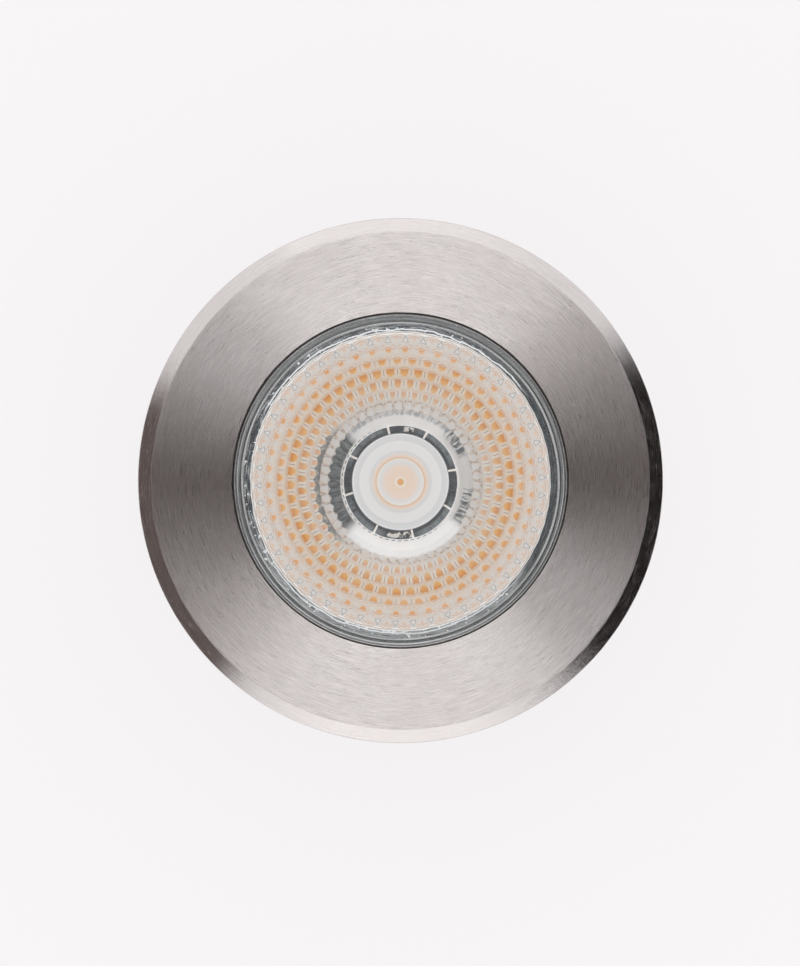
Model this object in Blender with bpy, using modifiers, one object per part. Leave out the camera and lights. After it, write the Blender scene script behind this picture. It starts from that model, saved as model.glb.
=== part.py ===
"""Recessed ground light: a screwless steel bezel over stepped glass, a faceted lens and a finned lamp head,
which drops into an installation sleeve that stays in the ground.

Lengths are in metres. +Z is up. The origin is the centre of the sleeve's foot, where it stands in the pit.
"""

import math

import bmesh
import bpy
from mathutils import Vector

MM = 0.001
TURN = 2 * math.pi

# Clearances
SEAT_GAP = 0.3 * MM  # between faces that rest on each other
SEAL_GAP = 0.1 * MM  # beside the thin lip of the glass gasket
RUNNING_GAP = 0.4 * MM  # round a piece that screws or slides
TAPPING_GAP = 0.15 * MM  # round a screw in its tapped hole
OVERRUN = 2.0 * MM  # how far a cutter passes the faces that it cuts
SINK = 0.5 * MM  # how deep joined shapes reach into each other
MERGE = 0.001 * MM
EDGE_BREAK = 0.5 * MM  # small chamfers on cast and moulded edges

# Facets round a full turn
FINE_STEPS = 56
BODY_STEPS = 32
MEDIUM_STEPS = 20
SMALL_STEPS = 10
RING_SIDES = 6
HEX_SIDES = 6
SHARP_ANGLE = math.radians(35)

# Lens, seen through the glass
LENS_RADIUS = 25.6 * MM
LENS_HEIGHT = 25.0 * MM
LENS_FLANGE = 1.8 * MM
LENS_FLANGE_THICKNESS = 1.5 * MM
LENS_FACE_GAP = 0.8 * MM  # from the glass down to the lens
LENS_FOOT_HEIGHT = 0.47 * MM  # of the plain foot below the first facets
FACET_COLUMNS = 50
FACET_ROWS = 7
FACET_RISE = 0.35 * MM
FACET_ZIGZAG_SHARE = 1 / 6  # of a row, as in a grid of regular six-sided cells
THROAT_FLARE = 0.6 * MM  # from the lens's foot out to the first facets
FOOT_WALL = 2.15 * MM  # between the lens's foot and the mouth of its cavity
CAVITY_STEPS = 25
CAVITY_DRAFT = 1.2 * MM
CAVITY_DEPTH = 10.5 * MM
DOME_MARGIN = 1.35 * MM  # round the dome in the cavity's roof
DOME_SAG = 1.6 * MM
DOME_MIDDLE_SHARE = 0.6

# Glass, its gaskets and the ring that holds the lens down
GLASS_MARGIN = 2.65 * MM  # from the lens's edge to the edge of the glass
GLASS_FLANGE = 3.2 * MM  # how far the glass's step runs out under the bezel
GLASS_FLANGE_THICKNESS = 3.6 * MM
GLASS_RECESS = 0.25 * MM
GLASS_CHAMFER = 0.4 * MM
GASKET_LIP = 0.35 * MM
GASKET_THICKNESS = 0.8 * MM
GASKET_LIP_RECESS = 0.7 * MM
SEAL_THICKNESS = 1.6 * MM
LENS_RING_MARGIN = 1.0 * MM
LENS_RING_HEIGHT = 2.0 * MM

# Bezel
BEZEL_WIDTH = 16.2 * MM  # from the aperture to the outer edge
BEZEL_THICKNESS = 3.4 * MM
BEZEL_CHAMFER_WIDTH = 2.4 * MM
BEZEL_CHAMFER_DEPTH = 1.3 * MM
SKIRT_WALL = 2.3 * MM
SKIRT_DEPTH = 14.0 * MM

# LED module
EMITTER_RADIUS = 4.6 * MM
EMITTER_THICKNESS = 0.5 * MM
SUBSTRATE_SIDE = 13.4 * MM
SUBSTRATE_THICKNESS = 1.0 * MM
PAD_THICKNESS = 0.5 * MM
PAD_MARGIN = 0.3 * MM
HOLDER_LIP = 1.55 * MM  # from the mouth of the lens's cavity in to the holder's aperture
HOLDER_WALL = 2.2 * MM
HOLDER_RIM_HEIGHT = 0.8 * MM  # of the rim that centres the lens
HOLDER_RIM_CLEARANCE = 1.2 * MM
HOLDER_NOTCH_PAIRS = 4
HOLDER_NOTCH_WIDTH = 0.8 * MM
HOLDER_NOTCH_TURN = math.radians(82.5)
HOLDER_NOTCH_SPREAD = math.radians(41)
HOLDER_EAR_RADIUS = 3.2 * MM
HOLDER_EAR_THICKNESS = 1.8 * MM
HOLDER_NECK_SHARE = 0.8  # of the ear's width
HOLDER_SCREW_REACH = 3.4 * MM  # from the holder's wall out to its screws
HOLDER_SCREW_COUNT = 2

# Housing
COLLAR_OVERHANG = 1.2 * MM  # of the threaded collar past the glass
COLLAR_RUNOUT = 1.2 * MM  # below the bezel's skirt
HOUSING_WALL = 3.4 * MM
FLOOR_THICKNESS = 6.0 * MM
REAR_WALL = 4.1 * MM
REAR_FLANGE = 2.4 * MM
REAR_FLANGE_HEIGHT = 6.0 * MM
FIN_PITCHES = 24
FIN_DEPTH = 5.4 * MM
FIN_ROOT_THICKNESS = 2.2 * MM
FIN_TIP_THICKNESS = 1.3 * MM
FIN_END_GAP = 2.0 * MM  # between the fins and the collar or the rear flange

# Screws
PAN_HEAD_RADIUS = 1.8 * MM
PAN_HEAD_HEIGHT = 1.2 * MM
PAN_SHANK_RADIUS = 0.9 * MM
COVER_HEAD_RADIUS = 2.2 * MM
COVER_HEAD_HEIGHT = 1.5 * MM
COVER_SHANK_RADIUS = 1.2 * MM
COVER_THREAD_LENGTH = 8.0 * MM
SCREW_SOCKET_SHARE = 0.5  # of the head's radius
SCREW_SOCKET_DEPTH_SHARE = 0.55  # of the head's height

# Rear cover
COVER_THICKNESS = 5.0 * MM
COVER_SCREW_COUNT = 4
SPIGOT_DEPTH = 4.0 * MM
SPIGOT_WALL = 4.5 * MM
GROOVE_WIDTH = 2.0 * MM
GROOVE_DEPTH = 1.5 * MM

# Driver board behind the LED
POST_COUNT = 3
POST_TURN = math.radians(90)
POST_RADIUS = 2.2 * MM
POST_HEIGHT = 4.0 * MM
BOARD_THICKNESS = 1.6 * MM
BOARD_MARGIN = 2.5 * MM
CAPACITOR_RADIUS = 4.0 * MM
CAPACITOR_HEIGHT = 14.0 * MM
CAPACITOR_HEADROOM = 3.0 * MM
CAPACITOR_CIRCLE_SHARE = 0.6  # of the board's radius
CAPACITOR_ANGLES = (math.radians(120), math.radians(240))
INDUCTOR_RADIUS = 5.5 * MM
INDUCTOR_HEIGHT = 8.0 * MM
INDUCTOR_FLANGE = 1.2 * MM
INDUCTOR_WINDING = 1.0 * MM  # how far the winding stays inside the flanges
TERMINAL_LENGTH = 10.0 * MM
TERMINAL_WIDTH = 7.0 * MM
TERMINAL_HEIGHT = 8.0 * MM
TERMINAL_PORT_RADIUS = 1.4 * MM
TERMINAL_CIRCLE_SHARE = 0.72  # of the board's radius
LEAD_RADIUS = 0.65 * MM
LEAD_SPACING = 1.9 * MM
LEAD_BEND = 2.6 * MM
LEAD_BEND_POINTS = 5
GROMMET_WALL = 0.7 * MM
GROMMET_FLANGE = 0.9 * MM
GROMMET_FLANGE_HEIGHT = 0.9 * MM

# Cable gland
GLAND_THREAD_RADIUS = 5.8 * MM
GLAND_BODY_WALL = 1.2 * MM
GLAND_STUB_LENGTH = 8.0 * MM
GLAND_HEX_FLATS = 15.0 * MM
GLAND_HEX_HEIGHT = 4.0 * MM
GLAND_RING_WIDTH = 1.4 * MM
GLAND_RING_THICKNESS = 1.2 * MM
GLAND_SEAL_BORE_RADIUS = 3.3 * MM
GLAND_SEAL_HEIGHT = 6.0 * MM
GLAND_SEAL_PROUD = 0.6 * MM
NUT_LENGTH = 12.5 * MM
NUT_FLATS_HEIGHT = 7.5 * MM
NUT_MOUTH_RADIUS = 3.7 * MM
NUT_CROWN_RADIUS = 5.9 * MM
NUT_CROWN_BREAK = 1.0 * MM

# Retaining springs between the head and the sleeve
SPRING_COUNT = 3
SPRING_WIDTH = 9.0 * MM
SPRING_THICKNESS = 0.5 * MM
SPRING_TAB = 3.2 * MM  # from the screw down to the end of the tab
SPRING_BEND_HEIGHT = 4.5 * MM  # from the screw up to the start of the bow
SPRING_BOW_LENGTH = 25.5 * MM
SPRING_BOW_SHARE = 0.8  # of a half wave
SPRING_BOW_POINTS = 10
SPRING_BOSS_RADIUS = 2.8 * MM
SPRING_BOSS_HEIGHT = 1.2 * MM
SPRING_FOOT_GAP = 2.0 * MM  # between the tab and the rear flange
SPRING_SCREW_REACH = 3.2 * MM  # from the boss's face into the wall

# Installation sleeve
SLEEVE_CLEARANCE = 1.6 * MM
SLEEVE_WALL = 2.2 * MM
SLEEVE_DRAFT = 0.5 * MM
SLEEVE_FLANGE_SHARE = 0.55  # of the way from the sleeve's wall to the bezel's edge
SLEEVE_FLANGE_THICKNESS = 2.2 * MM
SLEEVE_RING_SHARE = 0.45
SLEEVE_RING_THICKNESS = 1.8 * MM
SLEEVE_RING_HEIGHT_SHARES = (0.36, 0.7)
SLEEVE_FOOT_HEIGHT = 2.5 * MM
SLEEVE_RIB_COUNT = 6
SLEEVE_RIB_THICKNESS = 1.8 * MM
RIB_GAP_SHARES = (0.25, 0.5, 0.75)  # points on the wall between two ribs
CABLE_ROOM = 22.0 * MM  # under the gland, for the cable's bend
NOTCH_WIDTH = 21.0 * MM
NOTCH_HEIGHT = 19.0 * MM
NOTCH_ARC_POINTS = 10
FLANGE_SEAL_THICKNESS = 1.0 * MM
FLANGE_SEAL_INSET = 0.7 * MM

# Depths below the bezel's underside, from the glass down to the foot of the sleeve
gasket_top = SEAT_GAP
gasket_bottom = gasket_top + GASKET_THICKNESS
glass_flange_top = gasket_bottom + SEAT_GAP
glass_bottom = glass_flange_top + GLASS_FLANGE_THICKNESS
seal_top = glass_bottom + SEAT_GAP
seal_bottom = seal_top + SEAL_THICKNESS
rim_depth = seal_bottom + SEAT_GAP
lens_ring_top = glass_bottom + SEAT_GAP
lens_ring_bottom = lens_ring_top + LENS_RING_HEIGHT
lens_flange_top = lens_ring_bottom + SEAT_GAP
lens_flange_bottom = lens_flange_top + LENS_FLANGE_THICKNESS
ledge_depth = lens_flange_bottom + SEAT_GAP
lens_face = glass_bottom + LENS_FACE_GAP
lens_base = lens_face + LENS_HEIGHT
emitter_top = lens_base + SEAT_GAP
emitter_bottom = emitter_top + EMITTER_THICKNESS
substrate_top = emitter_bottom + SEAT_GAP
substrate_bottom = substrate_top + SUBSTRATE_THICKNESS
pad_top = substrate_bottom + SEAT_GAP
pad_bottom = pad_top + PAD_THICKNESS
floor_top = pad_bottom + SEAT_GAP
floor_bottom = floor_top + FLOOR_THICKNESS
capacitor_top = floor_bottom + CAPACITOR_HEADROOM
capacitor_bottom = capacitor_top + CAPACITOR_HEIGHT
board_top = capacitor_bottom + SEAT_GAP
board_bottom = board_top + BOARD_THICKNESS
post_top = board_bottom + SEAT_GAP
spigot_top = post_top + POST_HEIGHT
cover_top = spigot_top + SPIGOT_DEPTH
housing_bottom = cover_top - SEAT_GAP
cover_bottom = cover_top + COVER_THICKNESS
gland_ring_top = cover_bottom + SEAT_GAP
gland_ring_bottom = gland_ring_top + GLAND_RING_THICKNESS
gland_hex_top = gland_ring_bottom + SEAT_GAP
gland_hex_bottom = gland_hex_top + GLAND_HEX_HEIGHT
gland_stub_bottom = gland_hex_bottom + GLAND_STUB_LENGTH
gland_seal_bottom = gland_stub_bottom + GLAND_SEAL_PROUD
nut_top = gland_hex_bottom + SEAT_GAP
nut_shoulder = gland_seal_bottom + SEAT_GAP
nut_bottom = nut_top + NUT_LENGTH
foot_depth = nut_bottom + CABLE_ROOM
flange_seal_top = SEAT_GAP
flange_seal_bottom = flange_seal_top + FLANGE_SEAL_THICKNESS
sleeve_top = flange_seal_bottom + SEAT_GAP
skirt_bottom = SKIRT_DEPTH
collar_bottom = skirt_bottom + COLLAR_RUNOUT
fins_top = collar_bottom + FIN_END_GAP
rear_flange_top = housing_bottom - REAR_FLANGE_HEIGHT
fins_bottom = rear_flange_top - FIN_END_GAP
spring_screw_depth = rear_flange_top - SPRING_FOOT_GAP - SPRING_TAB
holder_bottom = floor_top - SEAT_GAP
holder_ear_top = holder_bottom - HOLDER_EAR_THICKNESS

# Reflecting side of the lens: a parabola with its focus on the LED, which throws the light upwards
lens_rise = emitter_top - lens_flange_bottom
lens_focal_length = (math.hypot(lens_rise, LENS_RADIUS) - lens_rise) / 2
facet_start_height = SEAT_GAP + LENS_FOOT_HEIGHT
facet_start_radius = 2 * math.sqrt(lens_focal_length * (lens_focal_length + facet_start_height))
facet_pitch = (LENS_RADIUS - facet_start_radius) / FACET_ROWS
facet_points = 2 * FACET_COLUMNS

# Radii, from the lens's cavity outwards
lens_foot_radius = facet_start_radius - THROAT_FLARE
cavity_mouth_radius = lens_foot_radius - FOOT_WALL
cavity_top_radius = cavity_mouth_radius - CAVITY_DRAFT
dome_radius = cavity_top_radius - DOME_MARGIN
holder_aperture_radius = cavity_mouth_radius - HOLDER_LIP
lens_flange_radius = LENS_RADIUS + LENS_FLANGE
lens_seat_bore = lens_flange_radius + SEAT_GAP
lens_ring_bore = LENS_RADIUS + LENS_RING_MARGIN
glass_radius = LENS_RADIUS + GLASS_MARGIN
glass_flange_radius = glass_radius + GLASS_FLANGE
gasket_lip_inner = glass_radius + SEAL_GAP
gasket_lip_outer = gasket_lip_inner + GASKET_LIP
aperture_radius = gasket_lip_outer + SEAL_GAP
bezel_radius = aperture_radius + BEZEL_WIDTH
housing_bore = LENS_RADIUS + RUNNING_GAP
collar_radius = glass_flange_radius + COLLAR_OVERHANG
skirt_bore = collar_radius + RUNNING_GAP
skirt_radius = skirt_bore + SKIRT_WALL
core_radius = housing_bore + HOUSING_WALL
fin_radius = core_radius + FIN_DEPTH
chamber_radius = core_radius - REAR_WALL
rear_flange_radius = core_radius + REAR_FLANGE
cover_screw_circle = (chamber_radius + rear_flange_radius) / 2
spigot_radius = chamber_radius - SEAT_GAP
spigot_bore = spigot_radius - SPIGOT_WALL
groove_radius = spigot_radius - GROOVE_DEPTH
sleeve_bore = max(skirt_radius, fin_radius, rear_flange_radius) + SLEEVE_CLEARANCE
sleeve_radius = sleeve_bore + SLEEVE_WALL
sleeve_flange_radius = sleeve_radius + SLEEVE_FLANGE_SHARE * (bezel_radius - sleeve_radius)
sleeve_ring_radius = sleeve_radius + SLEEVE_RING_SHARE * (bezel_radius - sleeve_radius)
board_radius = chamber_radius - BOARD_MARGIN
post_circle = board_radius - POST_RADIUS - SEAT_GAP
holder_pocket = math.hypot(SUBSTRATE_SIDE, SUBSTRATE_SIDE) / 2 + PAD_MARGIN + RUNNING_GAP
holder_rim_bore = max(holder_pocket, facet_start_radius) + HOLDER_RIM_CLEARANCE
holder_radius = holder_rim_bore + HOLDER_WALL
holder_screw_circle = holder_radius + HOLDER_SCREW_REACH
grommet_bore = LEAD_SPACING / 2 + LEAD_RADIUS + SEAT_GAP
grommet_radius = grommet_bore + GROMMET_WALL
lead_hole_radius = grommet_radius + SEAT_GAP
lead_circle = holder_radius + RUNNING_GAP + GROMMET_FLANGE + grommet_radius
gland_bore = GLAND_THREAD_RADIUS - GLAND_BODY_WALL
gland_seal_radius = gland_bore - SEAT_GAP
spring_boss_face = core_radius + SPRING_BOSS_HEIGHT
spring_seat = spring_boss_face + SEAT_GAP + SPRING_THICKNESS / 2


def up(depth):
    """The height above the origin of a depth below the bezel's underside."""
    return foot_depth - depth


# Scene and materials


def clear_scene():
    for obj in list(bpy.data.objects):
        bpy.data.objects.remove(obj, do_unlink=True)


def new_collection(name):
    collection = bpy.data.collections.new(name)
    bpy.context.scene.collection.children.link(collection)
    return collection


def new_material(name, colour, roughness, metallic=0.0, alpha=1.0):
    material = bpy.data.materials.new(name)
    material.use_nodes = True
    shader = material.node_tree.nodes["Principled BSDF"]
    shader.inputs["Base Color"].default_value = (*colour, 1.0)
    shader.inputs["Roughness"].default_value = roughness
    shader.inputs["Metallic"].default_value = metallic
    shader.inputs["Alpha"].default_value = alpha
    material.diffuse_color = (*colour, alpha)
    return material


clear_scene()
PARTS = new_collection("recessed_ground_light")
HELPERS = new_collection("cutters_and_unions")

BRUSHED_STEEL = new_material("brushed_steel", (0.62, 0.58, 0.57), 0.32, metallic=1.0)
SPRING_STEEL = new_material("spring_steel", (0.55, 0.55, 0.56), 0.25, metallic=1.0)
SCREW_STEEL = new_material("screw_steel", (0.5, 0.5, 0.52), 0.3, metallic=1.0)
CAST_ALUMINIUM = new_material("cast_aluminium", (0.36, 0.37, 0.38), 0.5, metallic=1.0)
BRIGHT_ALUMINIUM = new_material("bright_aluminium", (0.7, 0.71, 0.72), 0.22, metallic=1.0)
CLEAR_GLASS = new_material("clear_glass", (0.9, 0.95, 0.95), 0.02, alpha=0.3)
CLEAR_ACRYLIC = new_material("clear_acrylic", (0.92, 0.9, 0.87), 0.05, alpha=0.6)
BLACK_SILICONE = new_material("black_silicone", (0.02, 0.02, 0.02), 0.6)
SLEEVE_PLASTIC = new_material("sleeve_plastic", (0.03, 0.03, 0.032), 0.55)
GLAND_NYLON = new_material("gland_nylon", (0.05, 0.05, 0.055), 0.4)
HOLDER_PLASTIC = new_material("holder_plastic", (0.9, 0.9, 0.88), 0.4)
LED_CERAMIC = new_material("led_ceramic", (0.85, 0.85, 0.83), 0.5)
LED_PHOSPHOR = new_material("led_phosphor", (0.95, 0.62, 0.22), 0.35)
THERMAL_GREY = new_material("thermal_grey", (0.45, 0.46, 0.47), 0.8)
BOARD_GREEN = new_material("board_green", (0.03, 0.22, 0.1), 0.45)
COMPONENT_BLACK = new_material("component_black", (0.03, 0.03, 0.035), 0.35)
TERMINAL_GREEN = new_material("terminal_green", (0.1, 0.4, 0.2), 0.4)
LEAD_RED = new_material("lead_red", (0.6, 0.03, 0.02), 0.4)
LEAD_BLACK = new_material("lead_black", (0.02, 0.02, 0.02), 0.4)


# Modelling tools


def place(name, data, material):
    """Adds an object to the parts or, without a material, to the helpers that only cut and join."""
    obj = bpy.data.objects.new(name, data)
    if material:
        PARTS.objects.link(obj)
        data.materials.append(material)
    else:
        HELPERS.objects.link(obj)
        obj.hide_render = True
        obj.display_type = "WIRE"
    return obj


def from_bmesh(name, shape, material):
    bmesh.ops.recalc_face_normals(shape, faces=shape.faces)
    mesh = bpy.data.meshes.new(name)
    shape.to_mesh(mesh)
    shape.free()
    return place(name, mesh, material)


def turned(name, outline, steps, material=None, centre=(0.0, 0.0)):
    """Turns an outline of (radius, height) points about an upright axis through centre.

    The outline runs down its outer side. It is closed, unless both of its ends lie on the axis."""
    edges = [(i, i + 1) for i in range(len(outline) - 1)]
    if outline[0][0] > 0 or outline[-1][0] > 0:
        edges.append((len(outline) - 1, 0))
    mesh = bpy.data.meshes.new(name)
    mesh.from_pydata([(radius, 0.0, height) for radius, height in outline], edges, [])
    obj = place(name, mesh, material)
    obj.location = (*centre, 0.0)
    screw = obj.modifiers.new("Turn", "SCREW")
    screw.axis = "Z"
    screw.angle = TURN
    screw.steps = steps
    screw.render_steps = steps
    screw.use_merge_vertices = True
    screw.merge_threshold = MERGE
    return obj


def ring_outline(inner, outer, top, bottom):
    """The section of a plain ring between two depths."""
    return [(inner, up(top)), (outer, up(top)), (outer, up(bottom)), (inner, up(bottom))]


def rod_outline(radius, top, bottom):
    """The section of a solid rod between two depths."""
    return [(0.0, up(top)), (radius, up(top)), (radius, up(bottom)), (0.0, up(bottom))]


def rod(name, radius, top, bottom, centre, steps=SMALL_STEPS):
    """An upright rod that cuts or joins, between two depths."""
    return turned(name, rod_outline(radius, top, bottom), steps, None, centre)


def radial_rod(name, radius, start, end, depth, angle):
    """A rod that cuts or joins, from start outwards to end, at an angle round the light."""
    shape = bmesh.new()
    bmesh.ops.create_cone(
        shape, cap_ends=True, segments=SMALL_STEPS, radius1=radius, radius2=radius, depth=end - start
    )
    bmesh.ops.translate(shape, vec=(0.0, 0.0, (start + end) / 2), verts=shape.verts)
    rod_object = from_bmesh(name, shape, None)
    rod_object.rotation_euler = (0.0, math.pi / 2, angle)
    rod_object.location = (0.0, 0.0, up(depth))
    return rod_object


def block(name, size, centre, material=None, angle=0.0):
    """A box of the given size, turned about the vertical by angle."""
    shape = bmesh.new()
    bmesh.ops.create_cube(shape, size=1.0)
    bmesh.ops.scale(shape, vec=Vector(size), verts=shape.verts)
    obj = from_bmesh(name, shape, material)
    obj.location = centre
    obj.rotation_euler = (0.0, 0.0, angle)
    return obj


def hexagon(name, flats, top, bottom):
    """A six-sided prism that measures flats from side to side, between two depths."""
    shape = bmesh.new()
    corner_radius = flats / 2 / math.cos(math.pi / HEX_SIDES)
    bmesh.ops.create_cone(
        shape,
        cap_ends=True,
        segments=HEX_SIDES,
        radius1=corner_radius,
        radius2=corner_radius,
        depth=bottom - top,
    )
    obj = from_bmesh(name, shape, None)
    obj.location = (0.0, 0.0, up((top + bottom) / 2))
    return obj


def from_curve(name, curve, material):
    """The mesh of a curve, with its loose caps welded."""
    guide = bpy.data.objects.new(name + "_guide", curve)
    bpy.context.scene.collection.objects.link(guide)
    bpy.context.view_layer.update()
    graph = bpy.context.evaluated_depsgraph_get()
    mesh = bpy.data.meshes.new_from_object(guide.evaluated_get(graph))
    bpy.data.objects.remove(guide, do_unlink=True)
    shape = bmesh.new()
    shape.from_mesh(mesh)
    bpy.data.meshes.remove(mesh)
    bmesh.ops.remove_doubles(shape, verts=shape.verts, dist=MERGE)
    return from_bmesh(name, shape, material)


def add_spline(curve, points, closed):
    spline = curve.splines.new("POLY")
    spline.points.add(len(points) - 1)
    for target, point in zip(spline.points, points):
        target.co = (*point, 1.0)
    spline.use_cyclic_u = closed


def prism(name, outline, thickness, hole=()):
    """A flat outline of (x, y) points, with its hole, pulled up and down by half the thickness."""
    curve = bpy.data.curves.new(name, "CURVE")
    curve.dimensions = "2D"
    curve.fill_mode = "BOTH"
    curve.extrude = thickness / 2
    for loop in filter(None, (outline, hole)):
        add_spline(curve, [(x, y, 0.0) for x, y in loop], closed=True)
    return from_curve(name, curve, None)


def wire(name, route, radius, material):
    """A round wire along a route of (x, y, z) points."""
    curve = bpy.data.curves.new(name, "CURVE")
    curve.dimensions = "3D"
    curve.bevel_depth = radius
    curve.bevel_resolution = 1
    curve.use_fill_caps = True
    add_spline(curve, route, closed=False)
    return from_curve(name, curve, material)


def combine(obj, operation, others):
    """Cuts others from obj with DIFFERENCE, or joins them to it with UNION, all of them in one go."""
    tools = bpy.data.collections.new(f"{obj.name}_{operation.lower()}")
    HELPERS.children.link(tools)
    for other in others:
        HELPERS.objects.unlink(other)
        tools.objects.link(other)
    modifier = obj.modifiers.new(operation.title(), "BOOLEAN")
    modifier.operation = operation
    modifier.operand_type = "COLLECTION"
    modifier.collection = tools
    return obj


def on_circle(radius, angle):
    return (radius * math.cos(angle), radius * math.sin(angle))


def circle(radius, count):
    return [on_circle(radius, TURN * i / count) for i in range(count)]


def screw_outline(head_radius, head_height, shank_radius, length):
    """A screw that points down, with the underside of its head at zero and a socket in its top."""
    socket = head_radius * SCREW_SOCKET_SHARE
    socket_floor = head_height * (1 - SCREW_SOCKET_DEPTH_SHARE)
    return [
        (0.0, socket_floor),
        (socket, socket_floor),
        (socket, head_height),
        (head_radius, head_height),
        (head_radius, 0.0),
        (shank_radius, 0.0),
        (shank_radius, -length),
        (0.0, -length),
    ]


def pan_screw(name, length, centre, seat):
    """A small upright screw whose head sits a seat gap above a depth."""
    outline = screw_outline(PAN_HEAD_RADIUS, PAN_HEAD_HEIGHT, PAN_SHANK_RADIUS, length)
    screw = turned(name, outline, SMALL_STEPS, SCREW_STEEL, centre)
    screw.location.z = up(seat) + SEAT_GAP
    return screw


# Bezel, glass and gaskets


def make_bezel():
    face = up(-BEZEL_THICKNESS)
    outline = [
        (aperture_radius, face),
        (bezel_radius - BEZEL_CHAMFER_WIDTH, face),
        (bezel_radius, face - BEZEL_CHAMFER_DEPTH),
        (bezel_radius, up(0.0)),
        (skirt_radius, up(0.0)),
        (skirt_radius, up(skirt_bottom)),
        (skirt_bore, up(skirt_bottom)),
        (skirt_bore, up(0.0)),
        (aperture_radius, up(0.0)),
    ]
    turned("bezel", outline, FINE_STEPS, BRUSHED_STEEL)


def make_glass():
    top = up(-BEZEL_THICKNESS) - GLASS_RECESS
    outline = [
        (0.0, top),
        (glass_radius - GLASS_CHAMFER, top),
        (glass_radius, top - GLASS_CHAMFER),
        (glass_radius, up(glass_flange_top)),
        (glass_flange_radius, up(glass_flange_top)),
        (glass_flange_radius, up(glass_bottom)),
        (0.0, up(glass_bottom)),
    ]
    turned("glass", outline, FINE_STEPS, CLEAR_GLASS)


def make_glass_gasket():
    """The gasket's flat lies on the glass's step, and its thin lip fills the gap round the glass."""
    lip_top = up(-BEZEL_THICKNESS) - GASKET_LIP_RECESS
    outline = [
        (gasket_lip_inner, lip_top),
        (gasket_lip_outer, lip_top),
        (gasket_lip_outer, up(gasket_top)),
        (glass_flange_radius, up(gasket_top)),
        (glass_flange_radius, up(gasket_bottom)),
        (gasket_lip_inner, up(gasket_bottom)),
    ]
    turned("glass_gasket", outline, FINE_STEPS, BLACK_SILICONE)


def make_glass_seal():
    """The seal between the glass and the housing's rim."""
    inner = lens_seat_bore + SEAT_GAP
    outline = ring_outline(inner, glass_flange_radius, seal_top, seal_bottom)
    turned("glass_seal", outline, BODY_STEPS, BLACK_SILICONE)


def make_lens_ring():
    outline = ring_outline(lens_ring_bore, lens_flange_radius, lens_ring_top, lens_ring_bottom)
    turned("lens_ring", outline, FINE_STEPS, BRIGHT_ALUMINIUM)


# Faceted lens


def lens_point(radius, angle, rise=0.0):
    """A point on the parabola, pushed out square to its surface by rise."""
    height = up(emitter_top) + radius * radius / (4 * lens_focal_length) - lens_focal_length
    slope = radius / (2 * lens_focal_length)
    length = math.hypot(1.0, slope)
    return (*on_circle(radius + rise * slope / length, angle), height - rise / length)


def flat_ring(shape, radius, height, count):
    return [shape.verts.new((*on_circle(radius, TURN * i / count), height)) for i in range(count)]


def bridge(shape, inner, outer):
    """Joins two rings of points by faces. One ring may have a whole number of times the other's points."""
    coarse, fine = sorted((inner, outer), key=len)
    ratio = len(fine) // len(coarse)
    for i, corner in enumerate(coarse):
        run = [fine[(i * ratio + k) % len(fine)] for k in range(ratio + 1)]
        shape.faces.new([coarse[(i + 1) % len(coarse)], corner, *run])


def close_ring(shape, ring, height):
    """Closes a ring with a fan round a point on the axis."""
    pole = shape.verts.new((0.0, 0.0, height))
    for i, corner in enumerate(ring):
        shape.faces.new([corner, ring[(i + 1) % len(ring)], pole])


def facet_boundary(shape, line):
    """The zigzag between two rows of six-sided facets. The first and the last are plain circles."""
    zigzag = FACET_ZIGZAG_SHARE if 0 < line < FACET_ROWS else 0.0
    points = []
    for i in range(facet_points):
        side = 1 if (i + line) % 2 else -1
        radius = facet_start_radius + facet_pitch * (line + side * zigzag)
        points.append(shape.verts.new(lens_point(radius, TURN * i / facet_points)))
    return points


def facet_row(shape, row, lower, upper):
    """One row of pillow facets: six triangles rise from each cell's corners to its middle."""
    radius = facet_start_radius + facet_pitch * (row + 1 / 2)
    for column in range(FACET_COLUMNS):
        here = 2 * column + row % 2
        middle = shape.verts.new(lens_point(radius, TURN * here / facet_points, FACET_RISE))
        corners = [lower[(here + k) % facet_points] for k in (1, 0, -1)]
        corners += [upper[(here + k) % facet_points] for k in (-1, 0, 1)]
        for i, corner in enumerate(corners):
            shape.faces.new([corner, corners[(i + 1) % HEX_SIDES], middle])


def make_lens():
    shape = bmesh.new()
    cavity_top = up(lens_base) + CAVITY_DEPTH
    dome_pole = cavity_top - DOME_SAG
    dome_middle = dome_pole + DOME_SAG * DOME_MIDDLE_SHARE**2
    cavity = [
        flat_ring(shape, dome_radius * DOME_MIDDLE_SHARE, dome_middle, CAVITY_STEPS),
        flat_ring(shape, dome_radius, cavity_top, CAVITY_STEPS),
        flat_ring(shape, cavity_top_radius, cavity_top, CAVITY_STEPS),
        flat_ring(shape, cavity_mouth_radius, up(lens_base), CAVITY_STEPS),
    ]
    foot = flat_ring(shape, lens_foot_radius, up(lens_base), FACET_COLUMNS)
    lines = [facet_boundary(shape, line) for line in range(FACET_ROWS + 1)]
    flange = [
        flat_ring(shape, lens_flange_radius, up(lens_flange_bottom), FACET_COLUMNS),
        flat_ring(shape, lens_flange_radius, up(lens_flange_top), FACET_COLUMNS),
        flat_ring(shape, LENS_RADIUS, up(lens_flange_top), FACET_COLUMNS),
        flat_ring(shape, LENS_RADIUS, up(lens_face), FACET_COLUMNS),
    ]
    close_ring(shape, cavity[0], dome_pole)
    for inner, outer in zip(cavity, cavity[1:] + [foot]):
        bridge(shape, inner, outer)
    bridge(shape, foot, lines[0])
    for row, (lower, upper) in enumerate(zip(lines, lines[1:])):
        facet_row(shape, row, lower, upper)
    for inner, outer in zip([lines[-1]] + flange, flange):
        bridge(shape, inner, outer)
    close_ring(shape, flange[-1], up(lens_face))
    from_bmesh("tir_lens", shape, CLEAR_ACRYLIC)


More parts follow.
